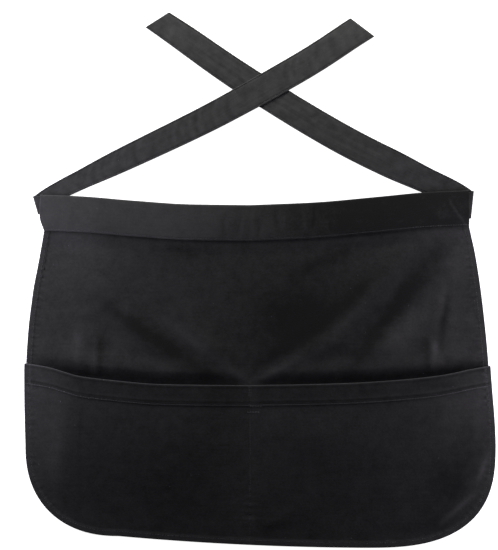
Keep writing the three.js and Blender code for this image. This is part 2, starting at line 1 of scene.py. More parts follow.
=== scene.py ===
"""A waist apron of black twill, laid out flat with its ties crossed above it."""
import math

import bpy
import numpy as np
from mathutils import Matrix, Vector
from mathutils.bvhtree import BVHTree


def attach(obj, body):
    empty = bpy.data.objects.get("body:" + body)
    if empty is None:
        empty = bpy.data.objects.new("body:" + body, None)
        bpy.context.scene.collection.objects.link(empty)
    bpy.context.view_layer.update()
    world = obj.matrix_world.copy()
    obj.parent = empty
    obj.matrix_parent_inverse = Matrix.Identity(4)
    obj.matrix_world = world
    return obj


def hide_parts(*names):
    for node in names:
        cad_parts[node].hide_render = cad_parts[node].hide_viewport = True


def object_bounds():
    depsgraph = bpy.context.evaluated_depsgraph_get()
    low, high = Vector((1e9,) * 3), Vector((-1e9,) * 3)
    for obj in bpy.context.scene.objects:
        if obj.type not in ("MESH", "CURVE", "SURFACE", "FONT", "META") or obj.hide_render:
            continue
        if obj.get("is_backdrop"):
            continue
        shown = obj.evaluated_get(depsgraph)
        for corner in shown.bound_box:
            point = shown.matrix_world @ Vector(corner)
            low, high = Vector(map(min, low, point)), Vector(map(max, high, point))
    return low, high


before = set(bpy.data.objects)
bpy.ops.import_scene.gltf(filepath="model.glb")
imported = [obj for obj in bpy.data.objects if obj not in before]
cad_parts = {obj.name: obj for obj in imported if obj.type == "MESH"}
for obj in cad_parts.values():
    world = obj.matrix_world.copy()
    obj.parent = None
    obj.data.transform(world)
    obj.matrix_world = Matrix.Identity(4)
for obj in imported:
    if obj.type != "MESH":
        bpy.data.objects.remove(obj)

bl_info = {
    "name": "Waist Apron",
    "version": (1, 0, 0),
    "blender": (4, 5, 0),
    "location": "View3D > Sidebar > Apron",
    "description": "Makes a twill waist apron with a divided front pocket and two ties",
    "category": "Add Mesh",
}

BODY = "root"
# Vertex value that carries the cloth's wear together with painted light and shade
CLOTH_MAP = "cloth"
WEAR_AND_SHADING = "worn"
MM = 0.001

# Distance of each line of stitches from the edge that it follows, and the share of the groove's depth
# that the hem's stitches have
HEM_LINE = 5.6 * MM
BAND_STITCHES = 2 * MM
TIE_STITCHES = 2 * MM
RIM_STITCHES = 1.2 * MM
HEM_DIP = 0.4

# Rows of points along a hem: distance from the edge, and how many rows lead up to it
HEM_ROWS = ((0.15 * MM, 1), (0.5 * MM, 1), (1.2 * MM, 1), (4.6 * MM, 2), (6.4 * MM, 6), (8.2 * MM, 4))

# Width and height of the sheets that lie flat
SKIRT_FLAT = (0.538, 0.378)
POCKET_FLAT = (0.542, 0.212)

# Courses and profiles, each column in shares of a size from the panel
BAND_LINE = {
    "out": (0, 0.29, 0.57, 0.82, 1),
    "left": (0, 0.08, 0.45, 0.86, 1),
    "right": (0, 0.18, 0.54, 0.88, 1),
}
BAND_ENDS = {"up": (0, 0.42, 1), "left": (0, 0.12, 0.1), "right": (0, 0.01, 0.005)}
SIDE_LINE = {
    "down": (0, 0.12, 0.28, 0.5, 0.66, 0.87, 1),
    "left": (0, 0.29, 0.61, 0.91, 1, 0.97, 0.93),
    "right": (0, 0.25, 0.46, 0.68, 0.8, 0.95, 1),
}
CORNER_SQUARE = {"left": 2.25, "right": 2.75}
RIM_LINE = {
    "out": (0, 0.4, 0.62, 0.76, 0.83, 0.9, 1),
    "left": (0, 0.07, 0.26, 0.44, 0.64, 0.84, 1),
    "right": (0, 0.13, 0.3, 0.48, 0.62, 0.8, 1),
}
GAPE_ACROSS = {
    "out": (0, 0.1, 0.25, 0.5, 0.76, 0.9, 1),
    "left": (0, 0.5, 0.84, 0.93, 1, 0.52, 0),
    "right": (0, 0.5, 0.84, 0.96, 1, 0.6, 0),
}
GAPE_DOWN = {"down": (0, 0.3, 0.6, 0.85, 1), "share": (1, 0.86, 0.5, 0.13, 0)}
TIE_LINES = {
    "left": {
        "along": (0, 0.06, 0.12, 0.25, 0.4, 0.6, 0.8, 0.93, 1),
        "heading": (39.7, 29, 26, 25.5, 25.7, 28.4, 30.6, 34, 32),
        "width": (0.62, 0.65, 0.69, 0.85, 0.93, 0.99, 1.02, 1.02, 1.02),
        "lift": (0, 0, 0, 0.6, 0.2, 0, 0.2, 0.9, 0.3),
    },
    "right": {
        "along": (0, 0.05, 0.12, 0.25, 0.45, 0.7, 0.88, 1),
        "heading": (38.5, 29, 25, 25.5, 30, 33, 35.4, 33.5),
        "width": (0.84, 0.9, 0.91, 1.05, 1.07, 1.05, 1, 0.92),
        "lift": (0, 0, 0, 0.8, 0.2, 0, 0.8, 0.3),
    },
}

# Folds of the skirt: both ends as shares of the half width and of the open length, the width as a share
# of the open length, and the height as a share of the fold height
BROAD_FOLDS = (
    (-0.02, 1.0, -0.3, 0.55, 0.1, 0.75),
    (-0.28, 1.02, -0.62, 0.5, 0.13, 0.7),
    (-0.7, 1.0, -0.72, 0.6, 0.09, 0.65),
    (0.04, 0.98, 0.42, 0.62, 0.13, 0.9),
    (0.3, 0.72, 0.66, 0.12, 0.12, 0.75),
    (0.42, 1.0, 0.62, 0.72, 0.16, 1.0),
    (0.74, 0.95, 0.8, 0.35, 0.1, 0.8),
    (0.88, 0.98, 0.93, 0.78, 0.05, 0.45),
)
FINE_FOLDS = (
    (-0.3, 1.0, -0.58, 0.56, 0.05, 0.55),
    (-0.26, 1.0, -0.56, 0.66, 0.04, -0.45),
    (-0.02, 0.99, -0.2, 0.72, 0.04, 0.4),
    (0.02, 0.99, 0.24, 0.78, 0.04, 0.55),
    (0.06, 0.88, 0.4, 0.55, 0.06, -0.5),
    (0.5, 0.72, 0.72, 0.18, 0.06, -0.9),
    (0.42, 0.55, 0.6, 0.22, 0.05, 0.35),
    (0.14, 0.24, 0.42, 0.1, 0.06, -0.6),
    (-0.2, 0.12, -0.4, 0.1, 0.05, -0.35),
    (0.765, 0.88, 0.81, 0.4, 0.03, -0.7),
    (0.74, 0.98, 0.735, 0.74, 0.03, 0.7),
    (0.86, 0.9, 0.95, 0.84, 0.025, -0.6),
    (-0.685, 1.0, -0.68, 0.72, 0.03, 0.5),
    (-0.61, 0.7, -0.56, 0.36, 0.05, -0.3),
)

# Painted light and shade of the skirt, lighter on its lit folds and zones and darker along its shaded
# creases: places as for its folds, and the tone
SKIRT_SHADING = (
    (-0.68, 0.45, -0.12, 0.99, 0.06, -0.95),
    (0.0, 1.0, -0.38, 0.55, 0.032, 0.8),
    (-0.773, 0.93, -0.773, 0.676, 0.03, 0.5),
    (0.0, 1.0, 0.29, 0.77, 0.03, 1.0),
    (0.29, 0.77, 0.55, 0.32, 0.05, 0.45),
    (0.04, 0.86, 0.55, 0.28, 0.065, -0.7),
    (0.4, 0.92, 0.78, 0.15, 0.075, -1.0),
    (0.554, 0.78, 0.78, 0.483, 0.09, 0.8),
    (0.767, 0.76, 0.82, 0.443, 0.03, -0.7),
    (0.7875, 0.93, 0.7465, 0.747, 0.025, 0.7),
    (0.164, 0.24, 0.439, 0.083, 0.05, -0.5),
    (-0.4, 0.08, -0.19, 0.09, 0.05, -0.4),
    (0.0, 0.66, 0.36, 0.38, 0.25, -0.9),
    (-0.9, 0.25, -0.6, 0.2, 0.2, 0.5),
    (0.8, 0.3, 0.93, 0.15, 0.12, 0.6),
    (0.68, 0.04, 0.96, 0.05, 0.07, 0.8),
    (-0.95, 0.06, -0.6, 0.07, 0.07, 0.8),
)

# Painted light and shade the same way on the pocket panel, down and width as shares of its depth
POCKET_SHADING = (
    (-0.75, 0.12, -0.76, 0.9, 0.018, -0.22),
    (-0.88, 0.42, -0.86, 0.72, 0.09, 0.42),
    (-0.6, 0.6, -0.15, 0.62, 0.28, -0.45),
    (0.2, 0.25, 0.42, 0.3, 0.12, 0.25),
    (0.74, 0.9, 0.97, 0.4, 0.14, -1.1),
    (0.91, 0.82, 0.78, 0.955, 0.022, 2.2),
    (0.93, 0.74, 0.98, 0.56, 0.02, 1.3),
    (0.0, 0.85, 0.15, 0.9, 0.08, -0.5),
)

# Fine painted lines along the rim, painted highlights and painted shade of its turned band: height over its
# stitches and width in millimetres, and the tone
RIM_SHADING_LINES = ((0, 0.6, 0.8), (3, 1.2, -0.4), (6, 1.0, 0.35))

# Soft folds of the pocket panel, with heights as shares of the crease height
POCKET_FOLDS = (
    (-0.74, 0.16, -0.76, 0.9, 0.02, -0.1),
    (-0.83, 0.2, -0.84, 0.85, 0.07, 0.6),
    (0.74, 0.98, 0.97, 0.6, 0.1, 0.8),
    (0.8, 0.62, 0.97, 0.3, 0.08, 0.5),
    (0.1, 0.3, 0.45, 0.35, 0.14, 0.4),
    (0.03, 0.95, 0.2, 0.8, 0.05, 0.4),
)

# Upright wrinkles of the band: place as a share of its right half, width as a share of its height,
# height as a share of its puff, and how much stronger each is at the lower seam
BAND_WRINKLES = (
    (-0.18, 0.2, 0.35, 0.6),
    (-0.115, 0.05, -0.3, 1.2),
    (-0.06, 0.14, -0.3, 0.2),
    (-0.03, 0.05, 0.35, 1.0),
    (0.0, 0.12, 0.4, 0.3),
    (0.04, 0.04, -0.4, 0.8),
    (0.09, 0.2, 0.3, 0.8),
    (0.125, 0.05, -0.5, 0.3),
    (0.16, 0.05, 0.3, 1.1),
    (0.2, 0.16, -0.25, 0.4),
    (0.25, 0.05, 0.55, 0.2),
    (0.285, 0.045, -0.6, 0.2),
    (0.3, 0.22, 0.35, 0.2),
    (0.36, 0.05, -0.3, 0.9),
    (0.87, 0.3, 0.45, 0.0),
)

# Each cloth's own look: how light it is, its own tone with painted light for how much light that piece
# catches, how strong its lengthwise streaks are, and how much painted shade darkens its right half
TWILLS = {
    "skirt_twill": (0.19, 0.12, 0.0),
    "pocket_twill": (0.2, 0.12, 0.0),
    "band_twill": (0.56, 0.14, 0.64),
    "left_tie_twill": (0.62, 0.34, 0.0),
    "right_tie_twill": (0.6, 0.34, 0.0),
}
DARKENED_THREAD = 0.35

# Strip lights: place, length and width, the studio's value for the power, and the colour
LIGHTS = {
    "left_light": ((-0.52, -0.02, 0.13), (0.4, 0.1), "left_power", (0.9, 0.88, 1.0)),
    "right_light": ((0.5, -0.14, 0.13), (0.4, 0.1), "right_power", (0.91, 0.88, 1.0)),
    "top_light": ((0.04, 0.52, 0.15), (0.6, 0.12), "top_power", (1.0, 1.0, 0.95)),
}
LIT_POINT = (0.0, -0.08, 0.0)
SENSOR = 36


def size(name, default, description):
    """A length that the sidebar shows in the scene's unit."""
    return bpy.props.FloatProperty(
        name=name, default=default, description=description, unit="LENGTH", precision=5)


def turn(name, default, description):
    """An angle that the sidebar shows in degrees."""
    return bpy.props.FloatProperty(
        name=name, default=math.radians(default), description=description, subtype="ANGLE")


def tint(name, default, description):
    """A colour, red, green and blue."""
    return bpy.props.FloatVectorProperty(
        name=name, default=default, description=description, subtype="COLOR", size=3, min=0, max=1)


def number(name, default, description):
    """A plain number."""
    return bpy.props.FloatProperty(name=name, default=default, description=description)


class ApronBandSizes(bpy.types.PropertyGroup):
    """Sizes of the waistband"""
    left: size("Left half", 0.2366, "From the middle to the left lower corner")
    right: size("Right half", 0.2516, "From the middle to the right lower corner")
    height: size("Height", 0.0415, "From the lower seam to the folded upper edge")
    rise_left: size("Left rise", 0.0117, "How much higher the left end lies than the middle")
    rise_right: size("Right rise", 0.017, "How much higher the right end lies than the middle")
    puff: size("Puff", 0.0008, "How far the front wall stands out between its edges")
    ramp: size("Ramp", 0.06, "Length over which the band climbs onto a tie")


class ApronSkirtSizes(bpy.types.PropertyGroup):
    """Sizes of the skirt"""
    seam_inside: size("Seam allowance", 0.005, "How far the skirt reaches into the band")
    settle: size("Settle", 0.018, "Length over which the skirt comes down from the band")
    hem: size("Hem", 0.007, "Width of the turned and stitched hem")
    length_left: size("Left length", 0.337, "From the band to the hem on the left")
    length_right: size("Right length", 0.3505, "From the band to the hem on the right")
    flare_left: size("Left flare", 0.0209, "How far the left side leans out")
    flare_right: size("Right flare", 0.0288, "How far the right side leans out")
    wide_left: size("Left corner width", 0.107, "Width of the rounded left corner")
    tall_left: size("Left corner height", 0.103, "Height of the rounded left corner")
    wide_right: size("Right corner width", 0.15, "Width of the rounded right corner")
    tall_right: size("Right corner height", 0.12, "Height of the rounded right corner")
    bow: size("Hem bow", 0.003, "How far the hem sags between its corners")
    fold: size("Fold height", 0.0055, "Height of the highest soft fold")
    fine_fold: size("Crease height", 0.0028, "Height of the sharpest crease")
    fade: size("Fold fade", 0.027, "Length over which the folds die out")
    mouth_roll: size("Mouth roll", 0.0052, "How far the skirt rolls up before it turns into the pocket")
    pucker: size("Pucker", 0.00032, "Depth of the puckers along the stitched hems")


class ApronPocketSizes(bpy.types.PropertyGroup):
    """Sizes of the pocket panel"""
    depth: size("Depth", 0.178, "From the rim to the hem at the middle")
    rise_left: size("Left rim rise", 0.0253, "How much higher the rim lies at the left side")
    rise_right: size("Right rim rise", 0.0233, "How much higher the rim lies at the right side")
    rim: size("Rim depth", 0.024, "Depth of the turned band along the rim")
    overhang: size("Overhang", 0.002, "How far the panel reaches past the skirt")
    gape: size("Gape", 0.01, "How far the mouths stand open")
    divider: size("Divider width", 0.012, "Width of the dip along the middle seam")


class ApronTieSizes(bpy.types.PropertyGroup):
    """Sizes of the two ties"""
    width: size("Width", 0.0322, "Full width of a tie")
    length_left: size("Left length", 0.427, "Length of the left tie that lies free")
    length_right: size("Right length", 0.4195, "Length of the right tie that lies free")
    inside: size("Inside the band", 0.01, "Length of each tie that is sewn into the band")
    wave: size("Wave", 0.0016, "Height of the highest wave along a tie")
    turning: size("Turn", 0.05, "Length over which a tie turns square to its course")
    ramp: size("Crossing ramp", 0.03, "Length over which a tie climbs onto the other")
    lean_left: turn("Left fold lean", 16, "Lean of the left tie's fold from upright")
    lean_right: turn("Right fold lean", 6, "Lean of the right tie's fold from upright")
    cut_left: turn("Left end cut", -21, "How far the left free end is cut off square")
    cut_right: turn("Right end cut", -24, "How far the right free end is cut off square")


class ApronClothSizes(bpy.types.PropertyGroup):
    """Thickness and clearance of the cloth, and its seams"""
    cloth: size("Cloth space", 0.001, "Space that one layer of cloth takes")
    hem_cloth: size("Hem space", 0.0016, "Space that a turned hem takes")
    tie_cloth: size("Tie space", 0.0012, "Space that a tie takes")
    gap: size("Gap", 0.0003, "Clearance between layers")
    step: size("Step", 0.001, "Width of the step at a hem's inner edge")
    thin: size("Cloth", 0.0007, "Thickness of one layer of twill")
    hem: size("Hem cloth", 0.0011, "Thickness of the turned hem")
    rim: size("Rim cloth", 0.0014, "Thickness of the turned rim")
    tie: size("Tie cloth", 0.0012, "Thickness of a tie, two layers")
    groove: size("Stitch groove", 0.0003, "How deep the stitches pull the cloth down")
    stitch: size("Stitch length", 0.0021, "Length of one stitch that shows")
    space: size("Stitch spacing", 0.0029, "From one stitch to the next")
    thread: size("Thread", 0.0004, "Thickness of the thread")


class ApronColours(bpy.types.PropertyGroup):
    """Colours of the cloth, the thread and the floor"""
    dark: tint("Twill", (0.0055, 0.0055, 0.0055), "The black of the twill where it is hardly worn")
    # The grey of wear is also the tone that painted light lifts the twill towards
    worn: tint("Worn twill", (0.053, 0.052, 0.053), "The grey of the twill where it is worn")
    lint: tint("Lint", (0.16, 0.155, 0.17), "Specks of lint on the cloth")
    thread: tint("Thread", (0.03, 0.029, 0.032), "The sewing thread")
    floor: tint("Floor", (0.9, 0.9, 0.9), "The plain pale floor")
    wale: size("Wale", 0.0009, "Distance between the diagonal ridges of the twill")


class ApronStudio(bpy.types.PropertyGroup):
    """Camera and lights"""
    centre_x: size("Middle of the view, X", -0.00115, "Point under the camera")
    centre_y: size("Middle of the view, Y", -0.0598, "Point under the camera")
    distance: size("Camera distance", 2.4, "Height of the camera over the floor")
    frame_height: size("View height", 0.6325, "Height of the floor that the picture covers")
    left_power: number("Left light", 3.3, "Power of the low strip light at the left, in watts")
    right_power: number("Right light", 1.9, "Power of the low strip light at the right, in watts")
    top_power: number("Top light", 3.6, "Power of the low strip light beyond the ties, in watts")
    sky: number("Fill", 0.012, "Strength of the even light from all round")
    glow: number("Floor glow", 1.0, "How much the floor shines by itself, to come out white")


GROUPS = {
    "apron_band": ApronBandSizes,
    "apron_skirt": ApronSkirtSizes,
    "apron_pocket": ApronPocketSizes,
    "apron_ties": ApronTieSizes,
    "apron_cloth": ApronClothSizes,
    "apron_colours": ApronColours,
    "apron_studio": ApronStudio,
}


def mix(a, b, t):
    """Value a share of the way from a to b."""
    return a + (b - a) * t


def smooth(t):
    """0 to 1 with level ends."""
    t = np.clip(t, 0, 1)
    return t * t * (3 - 2 * t)


def bell(t):
    """1 at 0, falling off on both sides."""
    return np.exp(-np.square(t))


def by_side(x, left, right):
    """The left value where x is negative, and the right one elsewhere."""
    return np.where(np.asarray(x) < 0, left, right)


def follow(table, key, column, place):
    """A column of a table read at a place between its rows, along a monotone cubic."""
    knots = np.array(table[key], float)
    values = np.array(table[column], float)
    slopes = np.diff(values) / np.diff(knots)
    before, after = slopes[:-1], slopes[1:]
    level = before * after <= 0
    inner = np.where(level, 0, 2 * before * after / np.where(level, 1, before + after))
    tangents = np.concatenate(([slopes[0]], inner, [slopes[-1]]))
    at = np.clip(np.asarray(place, float), knots[0], knots[-1])
    row = np.clip(np.searchsorted(knots, at, side="right") - 1, 0, len(knots) - 2)
    span = knots[row + 1] - knots[row]
    t = (at - knots[row]) / span
    start = (values[row] * (1 + 2 * t) + tangents[row] * span * t) * (1 - t) ** 2
    end = (values[row + 1] * (3 - 2 * t) + tangents[row + 1] * span * (t - 1)) * t ** 2
    return start + end


def follow_side(table, key, x, place):
    """The left or the right column, by the sign of x."""
    left = follow(table, key, "left", place)
    return by_side(x, left, follow(table, key, "right", place))


def ripple(seed, along, pitch, count=5):
    """Uneven waves of about one pitch along a line, from -1 to 1, the same on every run."""
    dice = np.random.default_rng(seed)
    total = np.zeros_like(np.asarray(along, float))
    for _ in range(count):
        wave = pitch * dice.uniform(0.7, 1.6)
        total += np.sin(2 * np.pi * (np.asarray(along) / wave + dice.uniform()))
    return total / count


class Pattern:
    """Outlines and heights of the apron, worked out from the sizes in the sidebar."""

    def __init__(self, scene):
        self.band = scene.apron_band
        self.skirt = scene.apron_skirt
        self.pocket = scene.apron_pocket
        self.ties = scene.apron_ties
        self.cloth = scene.apron_cloth
        self.crossing = self.find_crossing()
        self.on_tie = {name: self.band_on_tie(name) for name in ("left", "right")}

    def half_band(self, x):
        """How far out the band's lower edge ends."""
        return by_side(x, self.band.left, self.band.right)

    def half_skirt(self, x):
        """How far out the skirt reaches."""
        band, skirt = self.band, self.skirt
        return by_side(x, band.left + skirt.flare_left, band.right + skirt.flare_right)

    def band_middle(self, x):
        """Height up the floor of the band's middle line."""
        out = np.abs(x) / self.half_band(x)
        rise = by_side(x, self.band.rise_left, self.band.rise_right)
        return rise * follow_side(BAND_LINE, "out", x, out)

    def seam(self, x):
        """The seam between band and skirt."""
        return self.band_middle(x) - self.band.height / 2

    def skirt_top(self, x):
        """The skirt's upper edge, inside the band."""
        return self.seam(x) + self.skirt.seam_inside

    def band_plan(self, along, up):
        """A point of the band, from end to end and up from its lower edge."""
        band = self.band
        left = -band.left - band.height * follow(BAND_ENDS, "up", "left", up)
        right = band.right + band.height * follow(BAND_ENDS, "up", "right", up)
        x = mix(left, right, along)
        return x, self.band_middle(x) + band.height * (up - 0.5)

    def band_bend(self):
        """Radius of the middle of the cloth round the band's folded edge."""
        return (self.cloth.cloth + self.cloth.tie_cloth + 2 * self.cloth.gap) / 2

    def band_lift(self, x):
        """Height of the band's underside, which rises where it lies on a tie."""
        on_tie = by_side(x, self.on_tie["left"], self.on_tie["right"])
        free = self.half_band(x) - on_tie
        ramp = self.band.ramp
        return (self.cloth.tie_cloth + self.cloth.gap) * smooth((np.abs(x) - free + ramp) / ramp)

    def band_relief(self, x, up):
        """How far the band's front stands out by its puff and wrinkles."""
        arch = np.maximum(0, 4 * up * (1 - up))
        low = np.maximum(0, 1 - up) * np.minimum(1, up / 0.12)
        puff = arch + 0 * x
        for row, (at, wide, high, at_seam) in enumerate(BAND_WRINKLES):
            sway = 0.12 * math.sin(2.4 * row) * (up - 0.4) + 0.02 * np.sin(7 * up + row)
            off = (x - at * self.band.right - sway * self.band.height) / (1.3 * wide * self.band.height)
            reach = np.exp(-np.square((up - 0.35 - 0.15 * math.cos(1.7 * row)) / 0.34))
            puff += 1.5 * high * bell(off) * (arch * reach + at_seam * low * 0.6)
        press = 0.35 * bell(x / (2.2 * MM)) * arch
        return self.band.puff * (puff - press)

    def tie_size(self, name):
        """Side, end of the band, length, lean and cut of a tie."""
        ties, band = self.ties, self.band
        if name == "left":
            return -1, band.left, ties.length_left, ties.lean_left, ties.cut_left
        return 1, band.right, ties.length_right, ties.lean_right, ties.cut_right

    def stub_tilt(self, name):
        """Tilt of a tie inside the band, so that the fold turns it onto its first heading."""
        lean = self.tie_size(name)[3]
        return 2 * (math.pi / 2 - lean) - (math.pi - math.radians(TIE_LINES[name]["heading"][0]))

    def fold_centre(self, name):
        """Where a tie's fold crosses its middle line, seen as on the right-hand side."""
        side, end, _, lean, _ = self.tie_size(name)
        tilt = self.stub_tilt(name)
        half = self.ties.width * TIE_LINES[name]["width"][0] / 2 / math.cos(tilt)
        climb = max(0, -self.ties.inside * math.tan(tilt))
        height, middle = self.band.height, float(self.band_middle(side * end))
        top = middle + height / 2 - self.band_bend() - self.cloth.gap - climb
        level = np.array([top - 2 * half, top - half, top])
        reach = end + height * follow(BAND_ENDS, "up", name, (level - middle) / height + 0.5)
        reach = reach - (level - top + half) * math.tan(lean)
        return np.array([reach.max() + self.cloth.gap, top - half])

    def tie_course(self, name, steps):
        """Middle line of a tie on the floor, seen as on the right-hand side."""
        step = self.tie_size(name)[2] / steps
        middles = (np.arange(steps) + 0.5) / steps
        heading = np.pi - np.radians(follow(TIE_LINES[name], "along", "heading", middles))
        moves = step * np.stack([np.cos(heading), np.sin(heading)], 1)
        return np.vstack([[0, 0], np.cumsum(moves, 0)]) + self.fold_centre(name)

    def tie_across(self, name, along):
        """Directions across a tie, how far they are turned from square, and half its width."""
        _, _, length, lean, cut = self.tie_size(name)
        heading = np.pi - np.radians(follow(TIE_LINES[name], "along", "heading", along))
        turned = (self.stub_tilt(name) + lean) * (1 - smooth(along * length / self.ties.turning))
        turned = turned + cut * smooth(1 - (1 - along) * length / self.ties.turning)
        square = heading - np.pi / 2 + turned
        half = self.ties.width * follow(TIE_LINES[name], "along", "width", along) / 2
        return np.stack([np.cos(square), np.sin(square)], 1), turned, half

    def find_crossing(self):
        """Shares of the ties' lengths at which they cross, and half the length that overlaps."""
        steps = 400
        left = self.tie_course("left", steps) * (-1, 1)
        right = self.tie_course("right", steps)
        apart = np.linalg.norm(left[:, None] - right[None], axis=2)
        k, n = np.unravel_index(apart.argmin(), apart.shape)
        share, other = k / steps, n / steps
        turned = float(follow(TIE_LINES["left"], "along", "heading", share))
        angle = math.radians(turned + float(follow(TIE_LINES["right"], "along", "heading", other)))
        wide = self.ties.width * max(TIE_LINES["right"]["width"])
        half = wide / 2 / math.sin(angle) + wide / 2 / abs(math.tan(angle))
        return {"left": share, "right": other, "half": half + 2 * self.cloth.step}

    def tie_lift(self, name, along):
        """Height of a tie's underside over the floor."""
        wave = self.ties.wave * follow(TIE_LINES[name], "along", "lift", along)
        off = np.abs(along - self.crossing[name]) * self.tie_size(name)[2]
        clear = smooth((off - self.crossing["half"]) / self.ties.ramp)
        over = self.cloth.tie_cloth + self.cloth.gap if name == "left" else 0
        return wave * clear + over * (1 - clear)

    def band_on_tie(self, name):
        """Length of the band's end that lies on its tie."""
        steps = 200
        side, end = self.tie_size(name)[:2]
        course = self.tie_course(name, steps)
        along = np.arange(steps + 1) / steps
        width = self.ties.width * follow(TIE_LINES[name], "along", "width", along)
        heading = np.radians(follow(TIE_LINES[name], "along", "heading", along))
        lower = course[:, 1] - width / 2 / np.cos(heading)
        clear = lower > self.band_middle(side * course[:, 0]) + self.band.height / 2 + self.cloth.gap
        first = course[int(clear.argmax()), 0]
        turned = math.radians(TIE_LINES[name]["heading"][0])
        return end - abs(first) + self.ties.width * math.tan(turned)

    def corner(self, side, spread):
        """Reach, lowest level, width, height and squareness of a rounded corner."""
        skirt = self.skirt
        name = "left" if side < 0 else "right"
        wide, tall, flare, length = skirt.wide_right, skirt.tall_right, skirt.flare_right, skirt.length_right
        if side < 0:
            wide, tall, flare, length = skirt.wide_left, skirt.tall_left, skirt.flare_left, skirt.length_left
        out = float(self.half_band(side)) + flare * SIDE_LINE[name][-1] + spread
        return out, float(self.seam(0.0)) - length - spread, wide, tall, CORNER_SQUARE[name]

    def half_corner(self, side):
        """Length of edge round half of a corner, near enough for even spacing."""
        _, _, wide, tall, _ = self.corner(side, 0)
        return math.pi / 8 * (wide + tall)

    def corner_point(self, side, spread, along):
        """Point of a rounded corner, 0 at its upper end and 1 at its lower end."""
        out, low, wide, tall, square = self.corner(side, spread)
        angle = np.clip(along, 0, 1) * math.pi / 2
        x = out - wide + wide * np.maximum(np.cos(angle), 0) ** (2 / square)
        return np.stack([side * x, low + tall - tall * np.sin(angle) ** (2 / square)], -1)

    def side_edge(self, side, start, spread, share):
        """Side edge from a height down to the corner, then round half of the corner."""
        name = "left" if side < 0 else "right"
        _, low, _, tall, _ = self.corner(side, spread)
        begin = low + tall
        part = self.half_corner(side) / (self.half_corner(side) + start - begin)
        level = mix(start, begin, np.minimum(share / (1 - part), 1))
        half = float(self.half_band(side))
        seam = float(self.seam(side * half))
        down = (seam - level) / (seam - begin)
        flare = float(by_side(side, self.skirt.flare_left, self.skirt.flare_right))
        out = half + flare * follow(SIDE_LINE, "down", name, down) + spread
        straight = np.stack([side * out, level], -1)
        rounded = self.corner_point(side, spread, (share - 1 + part) / part / 2)
        return np.where((share <= 1 - part)[:, None], straight, rounded)

    def hem_edge(self, spread, share):
        """Hem from the middle of the left corner to the middle of the right one."""
        left = self.corner_point(-1, spread, 1.0)
        right = self.corner_point(1, spread, 1.0)
        whole = self.half_corner(-1) + self.half_corner(1) + math.dist(left, right)
        one, other = self.half_corner(-1) / whole, self.half_corner(1) / whole
        t = np.clip((share - one) / (1 - one - other), 0, 1)[:, None]
        flat = mix(left, right, t) - np.array([0, 4 * self.skirt.bow]) * t * (1 - t)
        first = self.corner_point(-1, spread, 0.5 + 0.5 * share / one)
        last = self.corner_point(1, spread, 0.5 + 0.5 * (1 - share) / other)
        right_part = np.where((share > 1 - other)[:, None], last, flat)
        return np.where((share < one)[:, None], first, right_part)

    def rim(self, x):
        """The pocket's rim."""
        skirt, pocket = self.skirt, self.pocket
        middle = self.seam(0.0) - (skirt.length_left + skirt.length_right) / 2 + pocket.depth
        rise = follow_side(RIM_LINE, "out", x, np.abs(x) / self.half_skirt(x))
        return middle + by_side(x, pocket.rise_left, pocket.rise_right) * rise

    def gape_across(self, x):
        """Share of the gape along the rim."""
        return follow_side(GAPE_ACROSS, "out", x, np.abs(x) / self.half_skirt(x))

    def panel_under(self, x, y):
        """Underside of the pocket panel: on the skirt at its seams, open at its mouths."""
        pinched = 50 * MM
        near_seam = 0.4 + 0.6 * smooth(np.abs(x) / pinched)
        pocket, cloth = self.pocket, self.cloth
        deep = self.rim(x) - y
        down = follow(GAPE_DOWN, "down", "share", deep / pocket.depth)
        above_hem = smooth((pocket.depth - deep) / self.skirt.hem - 3)
        dip = (cloth.hem_cloth - cloth.cloth) * bell(x / pocket.divider) * above_hem
        return cloth.hem_cloth + cloth.gap - dip + pocket.gape * self.gape_across(x) * near_seam * down

    def folds(self, table, x, y, start, length):
        """Sum of a table's folds at each place, on a piece of some length down from its upper edge."""
        half = self.half_skirt(x)
        total = np.zeros_like(x)
        for from_out, from_down, to_out, to_down, wide, high in table:
            start_x, start_y = from_out * half, start - from_down * length
            run_x, run_y = to_out * half - start_x, start - to_down * length - start_y
            t = ((x - start_x) * run_x + (y - start_y) * run_y) / (run_x ** 2 + run_y ** 2)
            t = np.clip(t, 0, 1)
            off = np.hypot(x - start_x - t * run_x, y - start_y - t * run_y)
            total += high * bell(off / (wide * length)) * np.sin(np.pi * mix(0.12, 0.88, t))
        return total

    def skirt_folds(self, table, x, y):
        """Folds of the open part of the skirt, between the band and the rim."""
        return self.folds(table, x, y, self.seam(x), self.seam(x) - self.rim(x))

    def pocket_folds(self, table, x, y):
        """Folds of the pocket panel, held down at the rim's ends and the hem."""
        return self.folds(table, x, y, self.rim(x), self.pocket.depth)

    def skirt_under(self, x, y):
        """Underside of the skirt with its folds, its roll over the pocket's mouth and the pressed middle."""
        skirt, cloth = self.skirt, self.cloth
        settle = 1 - smooth((self.seam(x) - cloth.step - y) / skirt.settle)
        below = smooth((self.seam(x) - y) / skirt.fade)
        over_rim = y - self.rim(x)
        above = smooth((over_rim - skirt.settle) / skirt.fade)
        broad = skirt.fold * self.skirt_folds(BROAD_FOLDS, x, y) * below * above
        flat_by_rim, roll_rise, roll_end = 8 * MM, 15 * MM, 16 * MM
        near_rim = smooth(over_rim / flat_by_rim)
        fine = skirt.fine_fold * self.skirt_folds(FINE_FOLDS, x, y) * below * near_rim
        across = self.gape_across(x)
        rise = smooth(over_rim / roll_rise) * bell(np.maximum(0, over_rim - roll_rise) / roll_end)
        roll = skirt.mouth_roll * across ** 2 * rise
        crease = -0.4 * MM * bell(x / (2.0 * MM)) * below * near_rim
        rest = (self.band_lift(x) + cloth.cloth + cloth.gap) * settle
        return np.maximum(rest + broad + fine + roll + crease, 0)


def lengths_along(line):
    """Length of a line from its start to each of its points."""
    return np.concatenate(([0], np.cumsum(np.linalg.norm(np.diff(line, axis=0), axis=1))))


